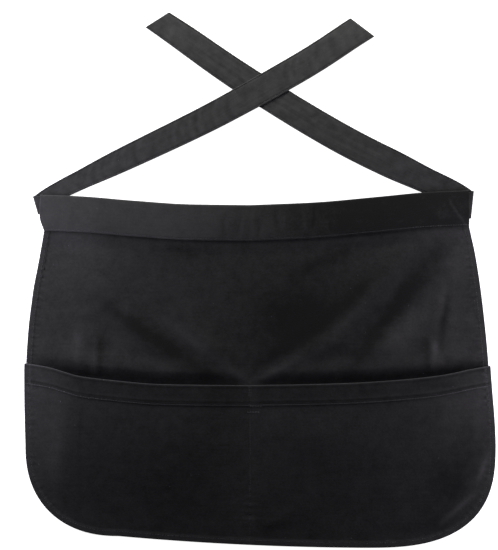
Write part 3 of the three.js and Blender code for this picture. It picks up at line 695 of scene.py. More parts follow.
def inward(edge):
    """Directions square to an edge line, to its left."""
    tangent = np.gradient(edge, axis=0)
    tangent /= np.linalg.norm(tangent, axis=1)[:, None]
    return np.stack([-tangent[:, 1], tangent[:, 0]], 1)


def nearest_edge(points, line):
    """Distance of each point from an edge line, and how far along the line its nearest point is."""
    steps = lengths_along(line)
    apart = np.empty(len(points))
    along = np.empty(len(points))
    batch = 2000
    for start in range(0, len(points), batch):
        part = slice(start, start + batch)
        gaps = np.linalg.norm(points[part][:, None] - line[None], axis=2)
        apart[part] = gaps.min(1)
        along[part] = steps[gaps.argmin(1)]
    return apart, along


def spaced(*runs):
    """Joins runs of (end, count), each evenly divided from the last one's end, into one row of numbers."""
    values, last = [0.0], 0.0
    for end, count in runs:
        values += [mix(last, end, (k + 1) / count) for k in range(count)]
        last = end
    return np.array(values)


def crowded(count, middle):
    """Even shares from 0 to 1 with one on the middle, drawn together there."""
    k = np.arange(count + 1)
    first = round(middle * count)
    even = np.where(k <= first, k / first * middle, middle + (k - first) / (count - first) * (1 - middle))
    off = even - middle
    return middle + off * (1 - 0.66 * bell(off / 0.02)), first


def sheet_plan(pattern, top, half, spread, columns, depths, backs):
    """Plan of a flat piece: a patch of columns and rows inside a strip set back from its sides and hem.

    top gives the upper edge, half how far out it ends and spread how far the piece reaches past the skirt.
    """
    starts = [float(top(side * float(half(side)))) for side in (-1, 1)]
    v = depths / depths[-1]
    # The edge down the left side, along the hem and up the right side, and the columns' places along it
    left = pattern.side_edge(-1, starts[0], spread, v)
    right = pattern.side_edge(1, starts[1], spread, v)
    inner = (left[0, 0] + backs[-1], right[0, 0] - backs[-1])
    middle = -inner[0] / (inner[1] - inner[0])
    u, first = crowded(columns, middle)
    dense = np.linspace(0, 1, 4001)
    cross = dense[int(np.abs(pattern.hem_edge(spread, dense)[:, 0]).argmin())]
    share = np.where(u < middle, u * cross / middle, 1 - (1 - u) * (1 - cross) / (1 - middle))
    hem = pattern.hem_edge(spread, share)
    edge = np.vstack([left, hem[1:-1], right[::-1]])
    # The strip inside that edge, and the patch between its inner line and the top
    strip = edge[:, None] + inward(edge)[:, None] * backs[None, :, None]
    rows = len(depths) - 1
    low = strip[rows:rows + columns + 1, -1]
    sides = strip[:rows + 1, -1], strip[rows + columns:, -1][::-1]
    across = mix(sides[0][0, 0], sides[1][0, 0], u)
    high = np.stack([across, top(across)], 1)
    sides[0][0], sides[1][0] = high[0], high[-1]
    su, sv = u[None, :, None], v[:, None, None]
    patch = (1 - sv) * high[None] + sv * low[None] + (1 - su) * sides[0][:, None] + su * sides[1][:, None]
    patch = patch - (1 - sv) * ((1 - su) * high[0] + su * high[-1]) - sv * ((1 - su) * low[0] + su * low[-1])
    # One column lies on the middle, and the first rows run level with the top
    near_middle = bell((u - middle) / 0.15)
    patch[..., 0] -= patch[:, first, 0][:, None] * near_middle[None]
    along = lengths_along(edge)
    deep = np.concatenate([depths, np.full(columns - 1, 1.0), depths[::-1]])
    patch_deep = np.repeat(depths[:, None], columns + 1, 1)
    outer_deep = np.repeat(deep[:, None], len(backs) - 1, 1)
    points = np.vstack([patch.reshape(-1, 2), strip[:, :-1].reshape(-1, 2)])
    depth = np.concatenate([patch_deep.ravel(), outer_deep.ravel()])
    level_rows, eased = 26 * MM, 60 * MM
    hold = 1 - smooth((depth - level_rows) / eased)
    points[:, 1] = mix(points[:, 1], top(points[:, 0]) - depth, hold)
    # Distance of each point from the edge, and how far along the edge it is
    back, run = nearest_edge(points[:patch_deep.size], edge)
    back = np.maximum(back, backs[-1])
    back = np.concatenate([back, np.tile(backs[:-1], len(edge))])
    run = np.concatenate([run, np.repeat(along, len(backs) - 1)])
    # Point numbers of the patch and of the strip round it
    patch_at = np.arange(patch_deep.size).reshape(rows + 1, columns + 1)
    strip_at = patch_deep.size + np.arange(outer_deep.size).reshape(outer_deep.shape)
    joined = np.concatenate([patch_at[:, 0], patch_at[rows, 1:-1], patch_at[::-1, columns]])
    ring = np.column_stack([strip_at, joined])
    border = np.concatenate([ring[:, 0], ring[-1, 1:], patch_at[0, ::-1][1:], ring[0, ::-1][1:-1]])
    return {
        "x": points[:, 0], "y": points[:, 1], "back": back, "run": run, "deep": depth,
        "faces": np.vstack([grid_faces(patch_at), grid_faces(ring)]), "border": border, "length": along[-1],
    }


def grid_faces(at):
    """Quads of a grid of point numbers, rows running down and columns to the right."""
    corners = at[:-1, :-1], at[1:, :-1], at[1:, 1:], at[:-1, 1:]
    return np.stack([corner.ravel() for corner in corners], 1)


def closed_faces(faces, border, count):
    """The over side's faces, the under side's turned round, and the wall between them."""
    after = np.roll(border, -1)
    wall = np.stack([after, border, border + count, after + count], 1)
    return np.vstack([faces, faces[:, ::-1] + count, wall])


def rounded(distance, thick):
    """Share of its thickness that a folded edge has at a distance from it."""
    near = np.clip(1 - distance / (0.55 * thick), 0, 1)
    return np.maximum(0.3, np.sqrt(1 - near ** 2))


def make_piece(name, points, faces, uv, worn):
    """A mesh object with the cloth's own map and its wear with painted light and shade."""
    mesh = bpy.data.meshes.new(name)
    mesh.from_pydata(points.tolist(), [], faces.tolist())
    mesh.update()
    loops = np.empty(len(mesh.loops), np.int32)
    mesh.loops.foreach_get("vertex_index", loops)
    mesh.uv_layers.new(name=CLOTH_MAP).data.foreach_set("uv", uv[loops].astype(np.float32).ravel())
    mesh.attributes.new(WEAR_AND_SHADING, "FLOAT", "POINT").data.foreach_set("value", worn.astype(np.float32))
    mesh.shade_smooth()
    return put(name, mesh)


def put(name, data):
    """An object in the scene with some data, at the origin."""
    thing = bpy.data.objects.new(name, data)
    bpy.context.scene.collection.objects.link(thing)
    return thing


def settle_piece(piece, node, material):
    """The piece rides on the apron, stands for its solid and takes its slot's finish."""
    piece.data.materials.append(material)
    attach(piece, BODY)
    if node:
        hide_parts(node)
    return piece


def flat_area(plan):
    """Area of a flat piece's plan."""
    x, y = plan["x"][plan["border"]], plan["y"][plan["border"]]
    return abs(np.dot(x, np.roll(y, -1)) - np.dot(y, np.roll(x, -1))) / 2


def laid(flat, area):
    """The smaller of the piece's area and its flat size, worked out and not kept."""
    min(area, flat[0] * flat[1])


def stitch_dip(distance):
    """Share of its depth that a groove pulled in by stitches has at a distance from them."""
    return bell(distance / (0.5 * MM))


def edge_wear(distance):
    """How much lighter a folded edge is from wear, at a distance from it."""
    return 0.35 * bell(distance / (0.8 * MM))


def hem_step_light(distance):
    """Where a hem's inner edge is lighter, painted light over the shade of its step, at a distance from its
    outer one.
    """
    return bell((distance - HEM_LINE - 1 * MM) / (1.8 * MM))


def hem_shape(pattern, plan, seed, pitch, reach, side):
    """A stitched hem: what lies inside it, what lies by a side, its puckers and their height.

    pitch and reach are the length and the width of the puckers, side the length of edge from the top
    that counts as a side.
    """
    skirt, back, run = pattern.skirt, plan["back"], plan["run"]
    step, turning, middle = 4 * MM, 50 * MM, 3 * MM
    inner = smooth((back - skirt.hem + step / 2) / step)
    by_side_edge = 1 - smooth((np.minimum(run, plan["length"] - run) - side) / turning)
    wave = ripple(seed, run, pitch) * bell((back - HEM_LINE - middle) / reach)
    return inner, by_side_edge, wave, skirt.pucker * wave * (0.35 + 0.65 * by_side_edge)


def mouth_shade(pattern, x, y):
    """How much blacker the skirt is where it goes down into the pockets."""
    by_divider, by_seam = smooth(np.abs(x) / (18 * MM)), smooth((np.abs(x) - 230 * MM) / (30 * MM))
    mouth = by_divider * (1 - 0.45 * by_seam)
    mouth = mouth * (0.85 + 0.25 * ripple(21, x, 60 * MM))
    over_rim = np.maximum(y - pattern.rim(x), 0)
    return 0.62 * bell(over_rim / ((3 + 9 * mouth) * MM)) * (0.2 + 0.8 * mouth)


def sheet_piece(name, plan, over, under, worn, behind):
    """A flat piece closed between its two sides, each with its own wear and painted light and shade."""
    x, y = plan["x"], plan["y"]
    points = np.vstack([np.column_stack([x, y, over]), np.column_stack([x, y, under])])
    faces = closed_faces(plan["faces"], plan["border"], len(x))
    uv = np.tile(np.column_stack([x, y]), (2, 1))
    return make_piece(name, points, faces, uv, np.concatenate([worn, behind]))


def make_skirt(pattern):
    """The skirt: folds, a roll over each pocket mouth, turned hems with their puckers."""
    skirt, cloth = pattern.skirt, pattern.cloth
    columns = 216
    depths = spaced((16 * MM, 10), (0.14, 62), (0.2, 40), (0.378, 44))
    backs = spaced(*HEM_ROWS)
    plan = sheet_plan(pattern, pattern.skirt_top, pattern.half_band, 0.0, columns, depths, backs)
    x, y, back = plan["x"], plan["y"], plan["back"]
    inner, by_side_edge, wave, pucker = hem_shape(pattern, plan, 3, 6.5 * MM, 4.5 * MM, 0.3)
    thick = mix(cloth.hem, cloth.thin, inner)
    share = rounded(back, thick)
    middle = pattern.skirt_under(x, y) + cloth.hem / 2 * mix(1, cloth.thin / cloth.hem, inner)
    # Both sides, with the hem's stitches pulled in on the front
    puffed = thick / 2 * share + pucker + skirt.pucker * (1 - inner)
    over = middle + puffed - HEM_DIP * cloth.groove * stitch_dip(back - HEM_LINE)
    under = np.maximum(middle - thick / 2 * share, 0) + np.maximum(pucker, 0) * inner
    behind = edge_wear(back) + 0.12 * (1 - inner) - 0.12 * bell((back - HEM_LINE) / (0.6 * MM))
    # Painted light and shade along the folds, puckers lighter on their crests by wear and darker in their
    # hollows as painted shade, painted light over the hem's inner step, the painted shadow under the band and
    # the painted shade in the mouths show on the front only
    worn = behind + 0.8 * pattern.skirt_folds(SKIRT_SHADING, x, y) + 0.4 * wave * by_side_edge
    worn = worn + 0.4 * hem_step_light(back) * by_side_edge
    worn = worn - 0.4 * bell((pattern.seam(x) - y) / (2.4 * MM)) - mouth_shade(pattern, x, y)
    return sheet_piece("skirt_cloth", plan, over, under, worn, behind), flat_area(plan)


def make_pocket(pattern):
    """The pocket panel: a turned rim, open mouths, the middle seam and stitched hems."""
    skirt, cloth, pocket = pattern.skirt, pattern.cloth, pattern.pocket
    columns = 224
    depths = spaced((0.2 * MM, 1), (0.6 * MM, 1), (1.4 * MM, 1), (3 * MM, 1), (21.6 * MM, 9), (25.6 * MM, 10),
                    (0.05, 12), (0.228, 74))
    backs = spaced(*HEM_ROWS)
    plan = sheet_plan(pattern, pattern.rim, pattern.half_skirt, pocket.overhang, columns, depths, backs)
    x, y, back, deep = plan["x"], plan["y"], plan["back"], plan["deep"]
    inner, by_side_edge, wave, pucker = hem_shape(pattern, plan, 5, 7 * MM, 5 * MM, 0.16)
    under_rim = smooth((deep - pocket.rim + 1 * MM) / (2.5 * MM))
    thick = np.maximum(mix(cloth.hem, cloth.thin, inner), mix(cloth.rim, cloth.thin, under_rim))
    # Grooves of the hem, the rim and the middle seam, with puckers along the seam
    from_stitches = deep - (pocket.rim - RIM_STITCHES)
    groove = HEM_DIP * stitch_dip(back - HEM_LINE) + stitch_dip(from_stitches)
    groove = groove + bell(x / (0.9 * MM)) * smooth(back / (2 * MM))
    seam_wave = ripple(9, deep, 9 * MM) * bell(x / (7 * MM)) * smooth((deep - pocket.rim) / (10 * MM))
    pucker = pucker + 0.25 * MM * seam_wave
    held = smooth((back - skirt.hem) / (20 * MM)) * smooth((deep - pocket.rim) / (20 * MM))
    folds = 0.8 * skirt.fine_fold * pattern.pocket_folds(POCKET_FOLDS, x, y) * held
    low = pattern.panel_under(x, y) + np.maximum(folds, -0.1 * MM)
    share = rounded(np.minimum(back, deep), thick)
    over = low + thick / 2 * (1 + share) + pucker + skirt.pucker - cloth.groove * groove
    under = low + thick / 2 * (1 - share) + np.maximum(pucker, 0)
    behind = edge_wear(back) + 0.16 * (1 - inner) - 0.3 * bell((back - HEM_LINE) / (0.6 * MM))
    # Painted light and shade along the folds, puckers lighter on their crests by wear and darker in their
    # hollows as painted shade, painted light over the hems' inner steps and the rim's painted highlight and
    # shade lines show on the front only
    worn = behind + 0.55 * pattern.pocket_folds(POCKET_SHADING, x, y) + 0.4 * wave * by_side_edge
    worn = worn + 0.3 * hem_step_light(back) * by_side_edge
    # Painted highlight along the rim's folded edge, and a darker turned rim band
    worn = worn + 1.3 * bell(deep / (0.9 * MM)) - 0.22 * (1 - under_rim)
    worn = worn + 0.3 * (1 - inner) * (1 - by_side_edge)
    for high, wide, tone in RIM_SHADING_LINES:
        worn = worn + tone * bell((from_stitches + high * MM) / (wide * MM))
    # Painted shade just below the highlight of the rim's folded edge
    worn = worn - 0.35 * bell((deep - 3.4 * MM) / (1.2 * MM))
    return sheet_piece("pocket_cloth", plan, over, under, worn, behind), flat_area(plan)


def make_band(pattern):
    """The waistband, one strip folded along its upper edge round the skirt and the ties' ends."""
    band, cloth = pattern.band, pattern.cloth
    bend = pattern.band_bend()
    top = 1 - (bend + cloth.cloth / 2) / band.height
    # Rows up the back wall, round the fold and down the front wall, in shares of the height
    back_rows, fold_steps, columns = 9, 12, 420
    back_up = np.linspace(0, top, back_rows)
    angles = np.linspace(0, np.pi, fold_steps + 1)[1:-1]
    front_up = top * (1 - spaced((0.7, 22), (0.93, 12), (0.99, 7), (1, 1)))
    up = np.concatenate([back_up, top + bend * np.sin(angles) / band.height, front_up])
    angle = np.concatenate([np.zeros(back_rows), angles, np.full(len(front_up), np.pi)])
    high = bend * (1 - np.cos(angle))
    in_front = (np.arange(len(up)) >= back_rows + len(angles)).astype(float)
    # Columns from end to end, closer at both ends
    ends = spaced((0.5 * MM, 3), (3 * MM, 4))
    along = np.linspace(0, 1, columns + 1)
    length = band.left + band.right
    tips = ends / length
    along = np.concatenate([tips[:-1], mix(tips[-1], 1 - tips[-1], along), 1 - tips[:-1][::-1]])
    x, y = pattern.band_plan(along[None], up[:, None])
    # The front's puff and wrinkles, its stitches and its pressed lower edge
    relief = pattern.band_relief(x, up[:, None]) * in_front[:, None]
    seam_line = BAND_STITCHES / band.height
    groove = cloth.groove * bell((up[:, None] - seam_line) / (0.5 * MM / band.height)) * in_front[:, None]
    press = 0.6 * MM * bell(up[:, None] / (1.6 * MM / band.height)) * in_front[:, None]
    to_end = np.minimum(along, 1 - along)[None] * length
    share = rounded(np.minimum(to_end, np.minimum(up, 1)[:, None] * band.height + 0 * to_end), cloth.thin)
    height = pattern.band_lift(x) + cloth.cloth / 2 + high[:, None] + relief - groove - press
    outward = np.stack([0 * x, np.sin(angle)[:, None] + 0 * x, -np.cos(angle)[:, None] + 0 * x], -1)
    centre = np.stack([x, y, height], -1)
    reach = (cloth.thin / 2 * share)[..., None]
    over, under = centre + outward * reach, centre - outward * reach
    round_length = np.concatenate(([0], np.cumsum(np.hypot(np.diff(up) * band.height, np.diff(high)))))
    uv = np.stack([x, 0 * x + round_length[:, None]], -1)
    # Lighter along the fold by wear and a painted highlight, painted light and shade on the wrinkles, wear on
    # the seam and both ends, and a streak near the right end
    creases = relief / band.puff - 4 * up[:, None] * (1 - up[:, None]) * in_front[:, None]
    worn = 0.8 * bell((angle[:, None] - np.pi * 0.6) / 0.7) + 0.35 * creases
    streak = bell((x + 0.7 * y - 0.978 * band.right) / (2.2 * MM)) * smooth((x - 0.9 * band.right) / (4 * MM))
    worn = worn + 0.6 * streak * in_front[:, None]
    at_seam = 0.55 * bell((up[:, None] - seam_line) / 0.03)
    worn = worn + in_front[:, None] * (at_seam + 0.4 * bell(to_end / MM))
    return grid_piece("waistband_cloth", over, under, uv, worn), round_length[-1]


def grid_piece(name, over, under, uv, worn):
    """Closes the space between two grids of points into one piece."""
    rows, columns = over.shape[:2]
    at = np.arange(rows * columns).reshape(rows, columns)
    faces = grid_faces(at)
    border = np.concatenate([at[:, 0], at[-1, 1:], at[::-1, -1][1:], at[0, ::-1][1:-1]])
    points = np.vstack([over.reshape(-1, 3), under.reshape(-1, 3)])
    faces = closed_faces(faces, border, rows * columns)
    if signed_volume(points - points.mean(0), faces) < 0:
        faces = faces[:, ::-1]
    return make_piece(name, points, faces, np.tile(uv.reshape(-1, 2), (2, 1)), np.tile(worn.ravel(), 2))


def signed_volume(points, faces):
    """Volume inside quads, negative where they face inwards."""
    a, b, c, d = (points[faces[:, k]] for k in range(4))
    total = np.einsum("ij,ij->i", a, np.cross(b, c)) + np.einsum("ij,ij->i", a, np.cross(c, d))
    return total.sum() / 6


def make_tie(pattern, name):
    """A tie: its end inside the band, the fold round the band's back wall and the long run on the floor."""
    ties, cloth = pattern.ties, pattern.cloth
    side, _, length, lean, _ = pattern.tie_size(name)
    bend = pattern.band_bend()
    centre = pattern.fold_centre(name)
    fold_line = np.array([math.sin(lean), math.cos(lean)])
    outward = np.array([math.cos(lean), -math.sin(lean)])
    tilt = pattern.stub_tilt(name) + lean
    root = ties.width * TIE_LINES[name]["width"][0] / 2 / math.cos(tilt)
    stub_rows, fold_rows, run_rows = 6, 11, 300
    course = pattern.tie_course(name, run_rows)
    # Rows inside the band and round the fold: middle, height and how far the tie has turned over
    rows = [(centre - outward * back - fold_line * back * math.tan(tilt), 2 * bend, math.pi)
            for back in np.linspace(ties.inside, 0, stub_rows + 1)[:-1]]
    rows += [(centre + outward * bend * math.sin(angle), bend * (1 - math.cos(angle)), angle)
             for angle in np.linspace(math.pi, 0, fold_rows)]
    middles, highs, turns = zip(*rows)
    # Rows along the floor
    along = np.arange(1, run_rows + 1) / run_rows
    run_cross, from_square, run_half = pattern.tie_across(name, along)
    middle = np.vstack([middles, course[1:]])
    cross = np.vstack([np.tile(fold_line, (len(rows), 1)), run_cross])
    half = np.concatenate([np.full(len(rows), root), run_half / np.cos(from_square)])
    high = np.concatenate([highs, pattern.tie_lift(name, along)])
    turned = np.concatenate([turns, np.zeros(run_rows)])
    # Columns from edge to edge, closer at both edges
    half_tie = 0.0161
    edges = spaced((0.15 * MM, 1), (0.5 * MM, 1), (1.4 * MM, 2), (2.6 * MM, 4), (half_tie, 9)) / half_tie
    columns = np.concatenate([edges - 1, 1 - edges[::-1][1:]])
    plan = middle[:, None] + cross[:, None] * half[:, None, None] * columns[None, :, None]
    run = np.concatenate([np.linspace(-ties.inside - bend * 3, 0, len(rows)), along * length])
    # Creases and stitches of the upper side, where a crease lifts the lower side by half as much
    from_edge = (1 - np.abs(columns))[None] * half[:, None]
    from_end = (length - run)[:, None]
    place = run[:, None] + 0 * from_edge
    relief, worn = tie_relief(name, run[:, None] / length, columns[None], place)
    on_floor = smooth(run / (12 * MM))[:, None]
    share = rounded(np.minimum(from_edge, from_end), cloth.tie)
    stitch = bell((from_edge - TIE_STITCHES) / (0.45 * MM))
    facing = np.stack([np.sin(turned) * outward[0], np.sin(turned) * outward[1], -np.cos(turned)], 1)
    centre_line = np.concatenate([plan, 0 * plan[..., :1] + (cloth.tie_cloth / 2 + high)[:, None, None]], 2)
    reach = cloth.tie / 2 * share
    lower = centre_line + facing[:, None] * reach[..., None]
    upper = centre_line - facing[:, None] * (reach + on_floor * (relief - cloth.groove * stitch))[..., None]
    lower[..., 2] += np.maximum(0, relief) * on_floor * 0.5
    for sheet_side in (lower, upper):
        sheet_side[..., 0] *= side
    uv = np.stack([run[:, None] + 0 * from_edge, columns[None] * half[:, None]], -1)
    worn = worn + edge_wear(from_edge) - 0.6 * stitch
    # Painted shade over the part of the tie nearest the band
    painted_shade_reach = 130 * MM
    worn = worn - 0.45 * (1 - smooth(place / painted_shade_reach))
    return grid_piece(name + "_tie_cloth", upper, lower, uv, worn)


def tie_relief(name, along, across, run):
    """Small creases of a tie, and the painted light and shade that follows them."""
    if name == "left":
        cross = ripple(11, run - 0.006 * across * (1 + across), 13 * MM) * smooth((along - 0.08) / 0.1)
        fine = 0.26 * MM * cross * (1 - 0.7 * smooth((along - 0.6) / 0.2))
        edge = 0.4 * MM * bell((along - 0.93 + 0.012 * across) / 0.012) * smooth((1 - across) / 0.6)
        return fine + edge, 0.3 * cross + 0 * run
    long = ripple(12, across * 0.016 + 0.002 * ripple(14, run, 0.09), 7 * MM)
    middle = smooth((along - 0.2) / 0.1) * (1 - smooth((along - 0.8) / 0.1))
    crease = -0.4 * MM * bell((along - 0.5 + 0.02 * across) / 0.008) * smooth((across + 0.4) / 0.5)
    return 0.22 * MM * long * middle + crease, 0.25 * long * middle + 0 * run


class Maths:
    """A value in a node tree: sums on it add Math nodes."""

    def __init__(self, finish, socket):
        self.finish = finish
        self.socket = socket

    def math(self, operation, *values):
        """The result of a Math node."""
        node = self.finish.node("ShaderNodeMath", {"operation": operation}, dict(enumerate(values)))
        return Maths(self.finish, node.outputs[0])

    def __add__(self, other):
        return self.math("ADD", self, other)

    def __radd__(self, other):
        return self.math("ADD", other, self)

    def __sub__(self, other):
        return self.math("SUBTRACT", self, other)

    def __rsub__(self, other):
        return self.math("SUBTRACT", other, self)

    def __mul__(self, other):
        return self.math("MULTIPLY", self, other)

    def __truediv__(self, other):
        return self.math("DIVIDE", self, other)

    def above(self, other):
        """1 where the value is greater, else 0."""
        return self.math("GREATER_THAN", self, other)

    def below(self, other):
        """1 where the value is less, else 0."""
        return self.math("LESS_THAN", self, other)

    def wave(self):
        """Sine of the value in whole turns, from 0 to 1."""
        return (self * (2 * math.pi)).math("SINE") * 0.5 + 0.5

    def clamp(self):
        """The value held between 0 and 1."""
        node = self.finish.node("ShaderNodeClamp", {}, {"Value": self})
        return Maths(self.finish, node.outputs[0])


class Finish:
    """A material and the one method that adds its nodes."""

    def __init__(self, name):
        self.material = bpy.data.materials.new(name)
        self.material.use_nodes = True
        self.tree = self.material.node_tree
        self.shader = self.tree.nodes["Principled BSDF"]

    def node(self, kind, settings, values):
        """Adds a node, sets it up, then fills its sockets with values or links."""
        node = self.tree.nodes.new(kind)
        for key, value in settings.items():
            setattr(node, key, value)
        for key, value in values.items():
            self.fill(node.inputs[key], value)
        return node

    def fill(self, socket, value):
        """Links a socket, or sets its value."""
        if isinstance(value, Maths):
            value = value.socket
        if isinstance(value, bpy.types.NodeSocket):
            self.tree.links.new(value, socket)
        else:
            socket.default_value = value

    def value(self, socket):
        """A socket as a value to reckon with."""
        return Maths(self, socket)

    def noise(self, place, scale, detail):
        """Noise about 0.5."""
        values = {"Vector": place, "Scale": scale, "Detail": detail, "Roughness": 0.5}
        return self.value(self.node("ShaderNodeTexNoise", {}, values).outputs["Fac"])

    def blend(self, share, first, second):
        """Mixes two colours."""
        settings = {"data_type": "RGBA", "clamp_factor": True}
        return self.node("ShaderNodeMix", settings, {0: share, 6: first, 7: second}).outputs[2]


def opaque(colour):
    """A colour from the sidebar with full alpha."""
    return (*colour, 1.0)


def twill(name):
    """Black twill: diagonal wales, mottled dye, the pieces' wear with their painted light and shade, and
    specks of lint.
    """
    colours = bpy.context.scene.apron_colours
    shade, grain, right_shade = TWILLS[name]
    finish = Finish(name)
    place = finish.node("ShaderNodeTexCoord", {}, {}).outputs["Object"]
    cloth = finish.node("ShaderNodeUVMap", {"uv_map": CLOTH_MAP}, {}).outputs[0]
    parts = finish.node("ShaderNodeSeparateXYZ", {}, {0: cloth}).outputs
    u, v = finish.value(parts[0]), finish.value(parts[1])
    worn = finish.value(finish.node("ShaderNodeAttribute", {"attribute_name": WEAR_AND_SHADING}, {}).outputs["Fac"])
    # Slanting wales with the yarns across them
    across_wale, along_wale = 0.82, 0.57
    wale = ((u * across_wale + v * along_wale) / colours.wale).wave()
    yarn = ((v * across_wale - u * along_wale) / (colours.wale * 0.8)).wave()
    weave = wale * 0.75 + yarn * wale * 0.25
    stretch = {0: cloth, 1: (14.0, 420.0, 1.0)}
    long_way = finish.node("ShaderNodeVectorMath", {"operation": "MULTIPLY"}, stretch)
    streak = finish.noise(long_way.outputs[0], 1.0, 2.0)
    mottle = finish.noise(place, 34.0, 3.0)
    fuzz = finish.noise(place, 900.0, 2.0)
    small = finish.noise(place, 420.0, 3.0)
    rumple = finish.noise(place, 95.0, 2.0)
    # Specks of lint at the middles of a few cells
    cells = {"Vector": place, "Scale": 120.0, "Randomness": 1.0}
    spots = finish.node("ShaderNodeTexVoronoi", {"feature": "F1"}, cells)
    chance = finish.node("ShaderNodeSeparateColor", {}, {0: spots.outputs["Color"]}).outputs[0]
    luck = finish.value(chance)
    lint = finish.value(spots.outputs["Distance"]).below(0.045) * luck.above(0.86)
    # Tone between black and the grey of wear, lifted and lowered by wear and by painted light and shade
    tone = shade + (mottle - 0.5) * 0.22 + (small - 0.5) * 0.4 + (streak - 0.5) * grain
    tone = tone + (rumple - 0.5) * (grain * 2.4)
    # Painted shade: the right half darkens by the cloth's share
    across = finish.value(finish.node("ShaderNodeSeparateXYZ", {}, {0: place}).outputs[0])
    right_shade_starts, right_shade_length = 0.09, 0.2
    tone = tone - ((across + right_shade_starts) / right_shade_length).clamp() * right_shade
    tone = tone + worn * 0.36 * (small * 0.6 + 0.7) + (weave - 0.5) * 0.24
    colour = finish.blend(tone.clamp(), opaque(colours.dark), opaque(colours.worn))
    colour = finish.blend(lint * 0.6, colour, opaque(colours.lint))
    height = weave * 0.7 + fuzz * 0.5 + small * 0.6 + streak * grain
    bump = finish.node("ShaderNodeBump", {}, {"Strength": 0.55, "Distance": 0.0003, "Height": height})
    shader = finish.shader.inputs
    finish.fill(shader["Base Color"], colour)
    finish.fill(shader["Roughness"], (0.86 - worn * 0.12 + (small - 0.5) * 0.16).clamp())
    finish.fill(shader["Normal"], bump.outputs[0])
    shader["Sheen Weight"].default_value = 0.06
    shader["Sheen Roughness"].default_value = 0.35
    shader["Sheen Tint"].default_value = (0.86, 0.85, 1.0, 1.0)
    shader["Specular IOR Level"].default_value = 0.2
    return finish.material


def thread_finish(name, share):
    """Sewing thread: twisted, with a share of the thread's full colour where it has darkened."""
    colours = bpy.context.scene.apron_colours
    finish = Finish(name)
    place = finish.node("ShaderNodeTexCoord", {}, {}).outputs["Object"]
    tone = finish.noise(place, 700.0, 2.0)
    lighter = tuple(share * channel for channel in colours.thread)
    darker = tuple(0.45 * channel for channel in lighter)
    finish.fill(finish.shader.inputs["Base Color"],
                finish.blend(tone.clamp(), opaque(darker), opaque(lighter)))
    finish.fill(finish.shader.inputs["Roughness"], 0.55 + tone * 0.2)
    bump = finish.node("ShaderNodeBump", {}, {"Strength": 0.3, "Distance": 0.0001, "Height": tone})
    finish.fill(finish.shader.inputs["Normal"], bump.outputs[0])
    finish.shader.inputs["Sheen Weight"].default_value = 0.2
    return finish.material


def stitch_line(line, space, length):
    """Both ends of each of the even stitches along a line on the plan."""
    steps = lengths_along(line)
    count = max(1, int(steps[-1] / space))
    middles = (np.arange(count) + 0.5) * steps[-1] / count
    return [np.column_stack([np.interp(middles + shift, steps, line[:, k]) for k in (0, 1)])
            for shift in (-length / 2, length / 2)]


def from_lowest(face):
    """A face's points in the same turn, beginning with the lowest number."""
    first = face.index(min(face))
    return face[first:] + face[:first]


def one_stitch():
    """Points and faces of one stitch, a short thread with pointed ends."""
    bpy.ops.object.select_all(action="DESELECT")
    bpy.ops.mesh.primitive_uv_sphere_add(segments=6, ring_count=6, radius=1.0, location=(0, 0, 0))
    ball = bpy.context.object
    bpy.ops.object.mode_set(mode="EDIT")
    bpy.ops.mesh.select_all(action="SELECT")
    bpy.ops.transform.rotate(value=math.pi / 2, orient_axis="Y", center_override=(0, 0, 0))
    bpy.ops.mesh.quads_convert_to_tris()
    bpy.ops.object.mode_set(mode="OBJECT")
    mesh = ball.data
    points = np.array([vertex.co for vertex in mesh.vertices])
    faces = np.array(sorted(from_lowest(tuple(polygon.vertices)) for polygon in mesh.polygons))
    bpy.data.objects.remove(ball)
    bpy.data.meshes.remove(mesh)
    return points, faces


def make_stitches(name, cloth_piece, lines, cloth, from_above=True):
    """Sews lines of stitches onto a piece: both ends of a stitch lie on the cloth's own surface."""
    mesh = cloth_piece.data
    tree = BVHTree.FromPolygons([vertex.co for vertex in mesh.vertices],
                                [polygon.vertices for polygon in mesh.polygons])
    way = -1 if from_above else 1
    shape, faces = one_stitch()
    points, corners = [], []
    for line in lines:
        starts, ends = stitch_line(np.asarray(line, float), cloth.space, cloth.stitch)
        for start, end in zip(starts, ends):
            hits = [tree.ray_cast((*place, -way * 0.1), (0, 0, way))[0] for place in (start, end)]
            if None in hits:
                continue
            first, last = (np.array(hit) for hit in hits)
            along = last - first
            long = np.linalg.norm(along)
            along /= long
            across = np.cross((0, 0, 1), along)
            up = np.cross(along, across)
            thick = cloth.thread / 2
            bowed = shape * (long / 2, thick, thick)
            lift = thick * 0.5 * (1 - shape[:, 0] ** 2) * -way
            place = (first + last) / 2 + bowed[:, :1] * along + bowed[:, 1:2] * across + bowed[:, 2:] * up
            place[:, 2] += lift
            corners.append(faces + len(points) * len(shape))
            points.append(place)
    if not points:
        raise RuntimeError(f"{name} has no stitches")
    mesh = bpy.data.meshes.new(name)
    mesh.from_pydata(np.vstack(points).tolist(), [], np.vstack(corners).tolist())
    mesh.shade_smooth()
    return put(name, mesh)


def edge_line(pattern, top, half, spread, back, first, last):
    """Line set back from the sides and hem, from a share down the left side to one down the right."""
    starts = [float(top(side * float(half(side)))) for side in (-1, 1)]
    share = np.linspace(0, 1, 400)
    left = pattern.side_edge(-1, starts[0], spread, mix(first, 1, share))
    right = pattern.side_edge(1, starts[1], spread, mix(1, last, share))
    hem = pattern.hem_edge(spread, share)
    edge = np.vstack([left, hem[1:-1], right])
    return edge + inward(edge) * back


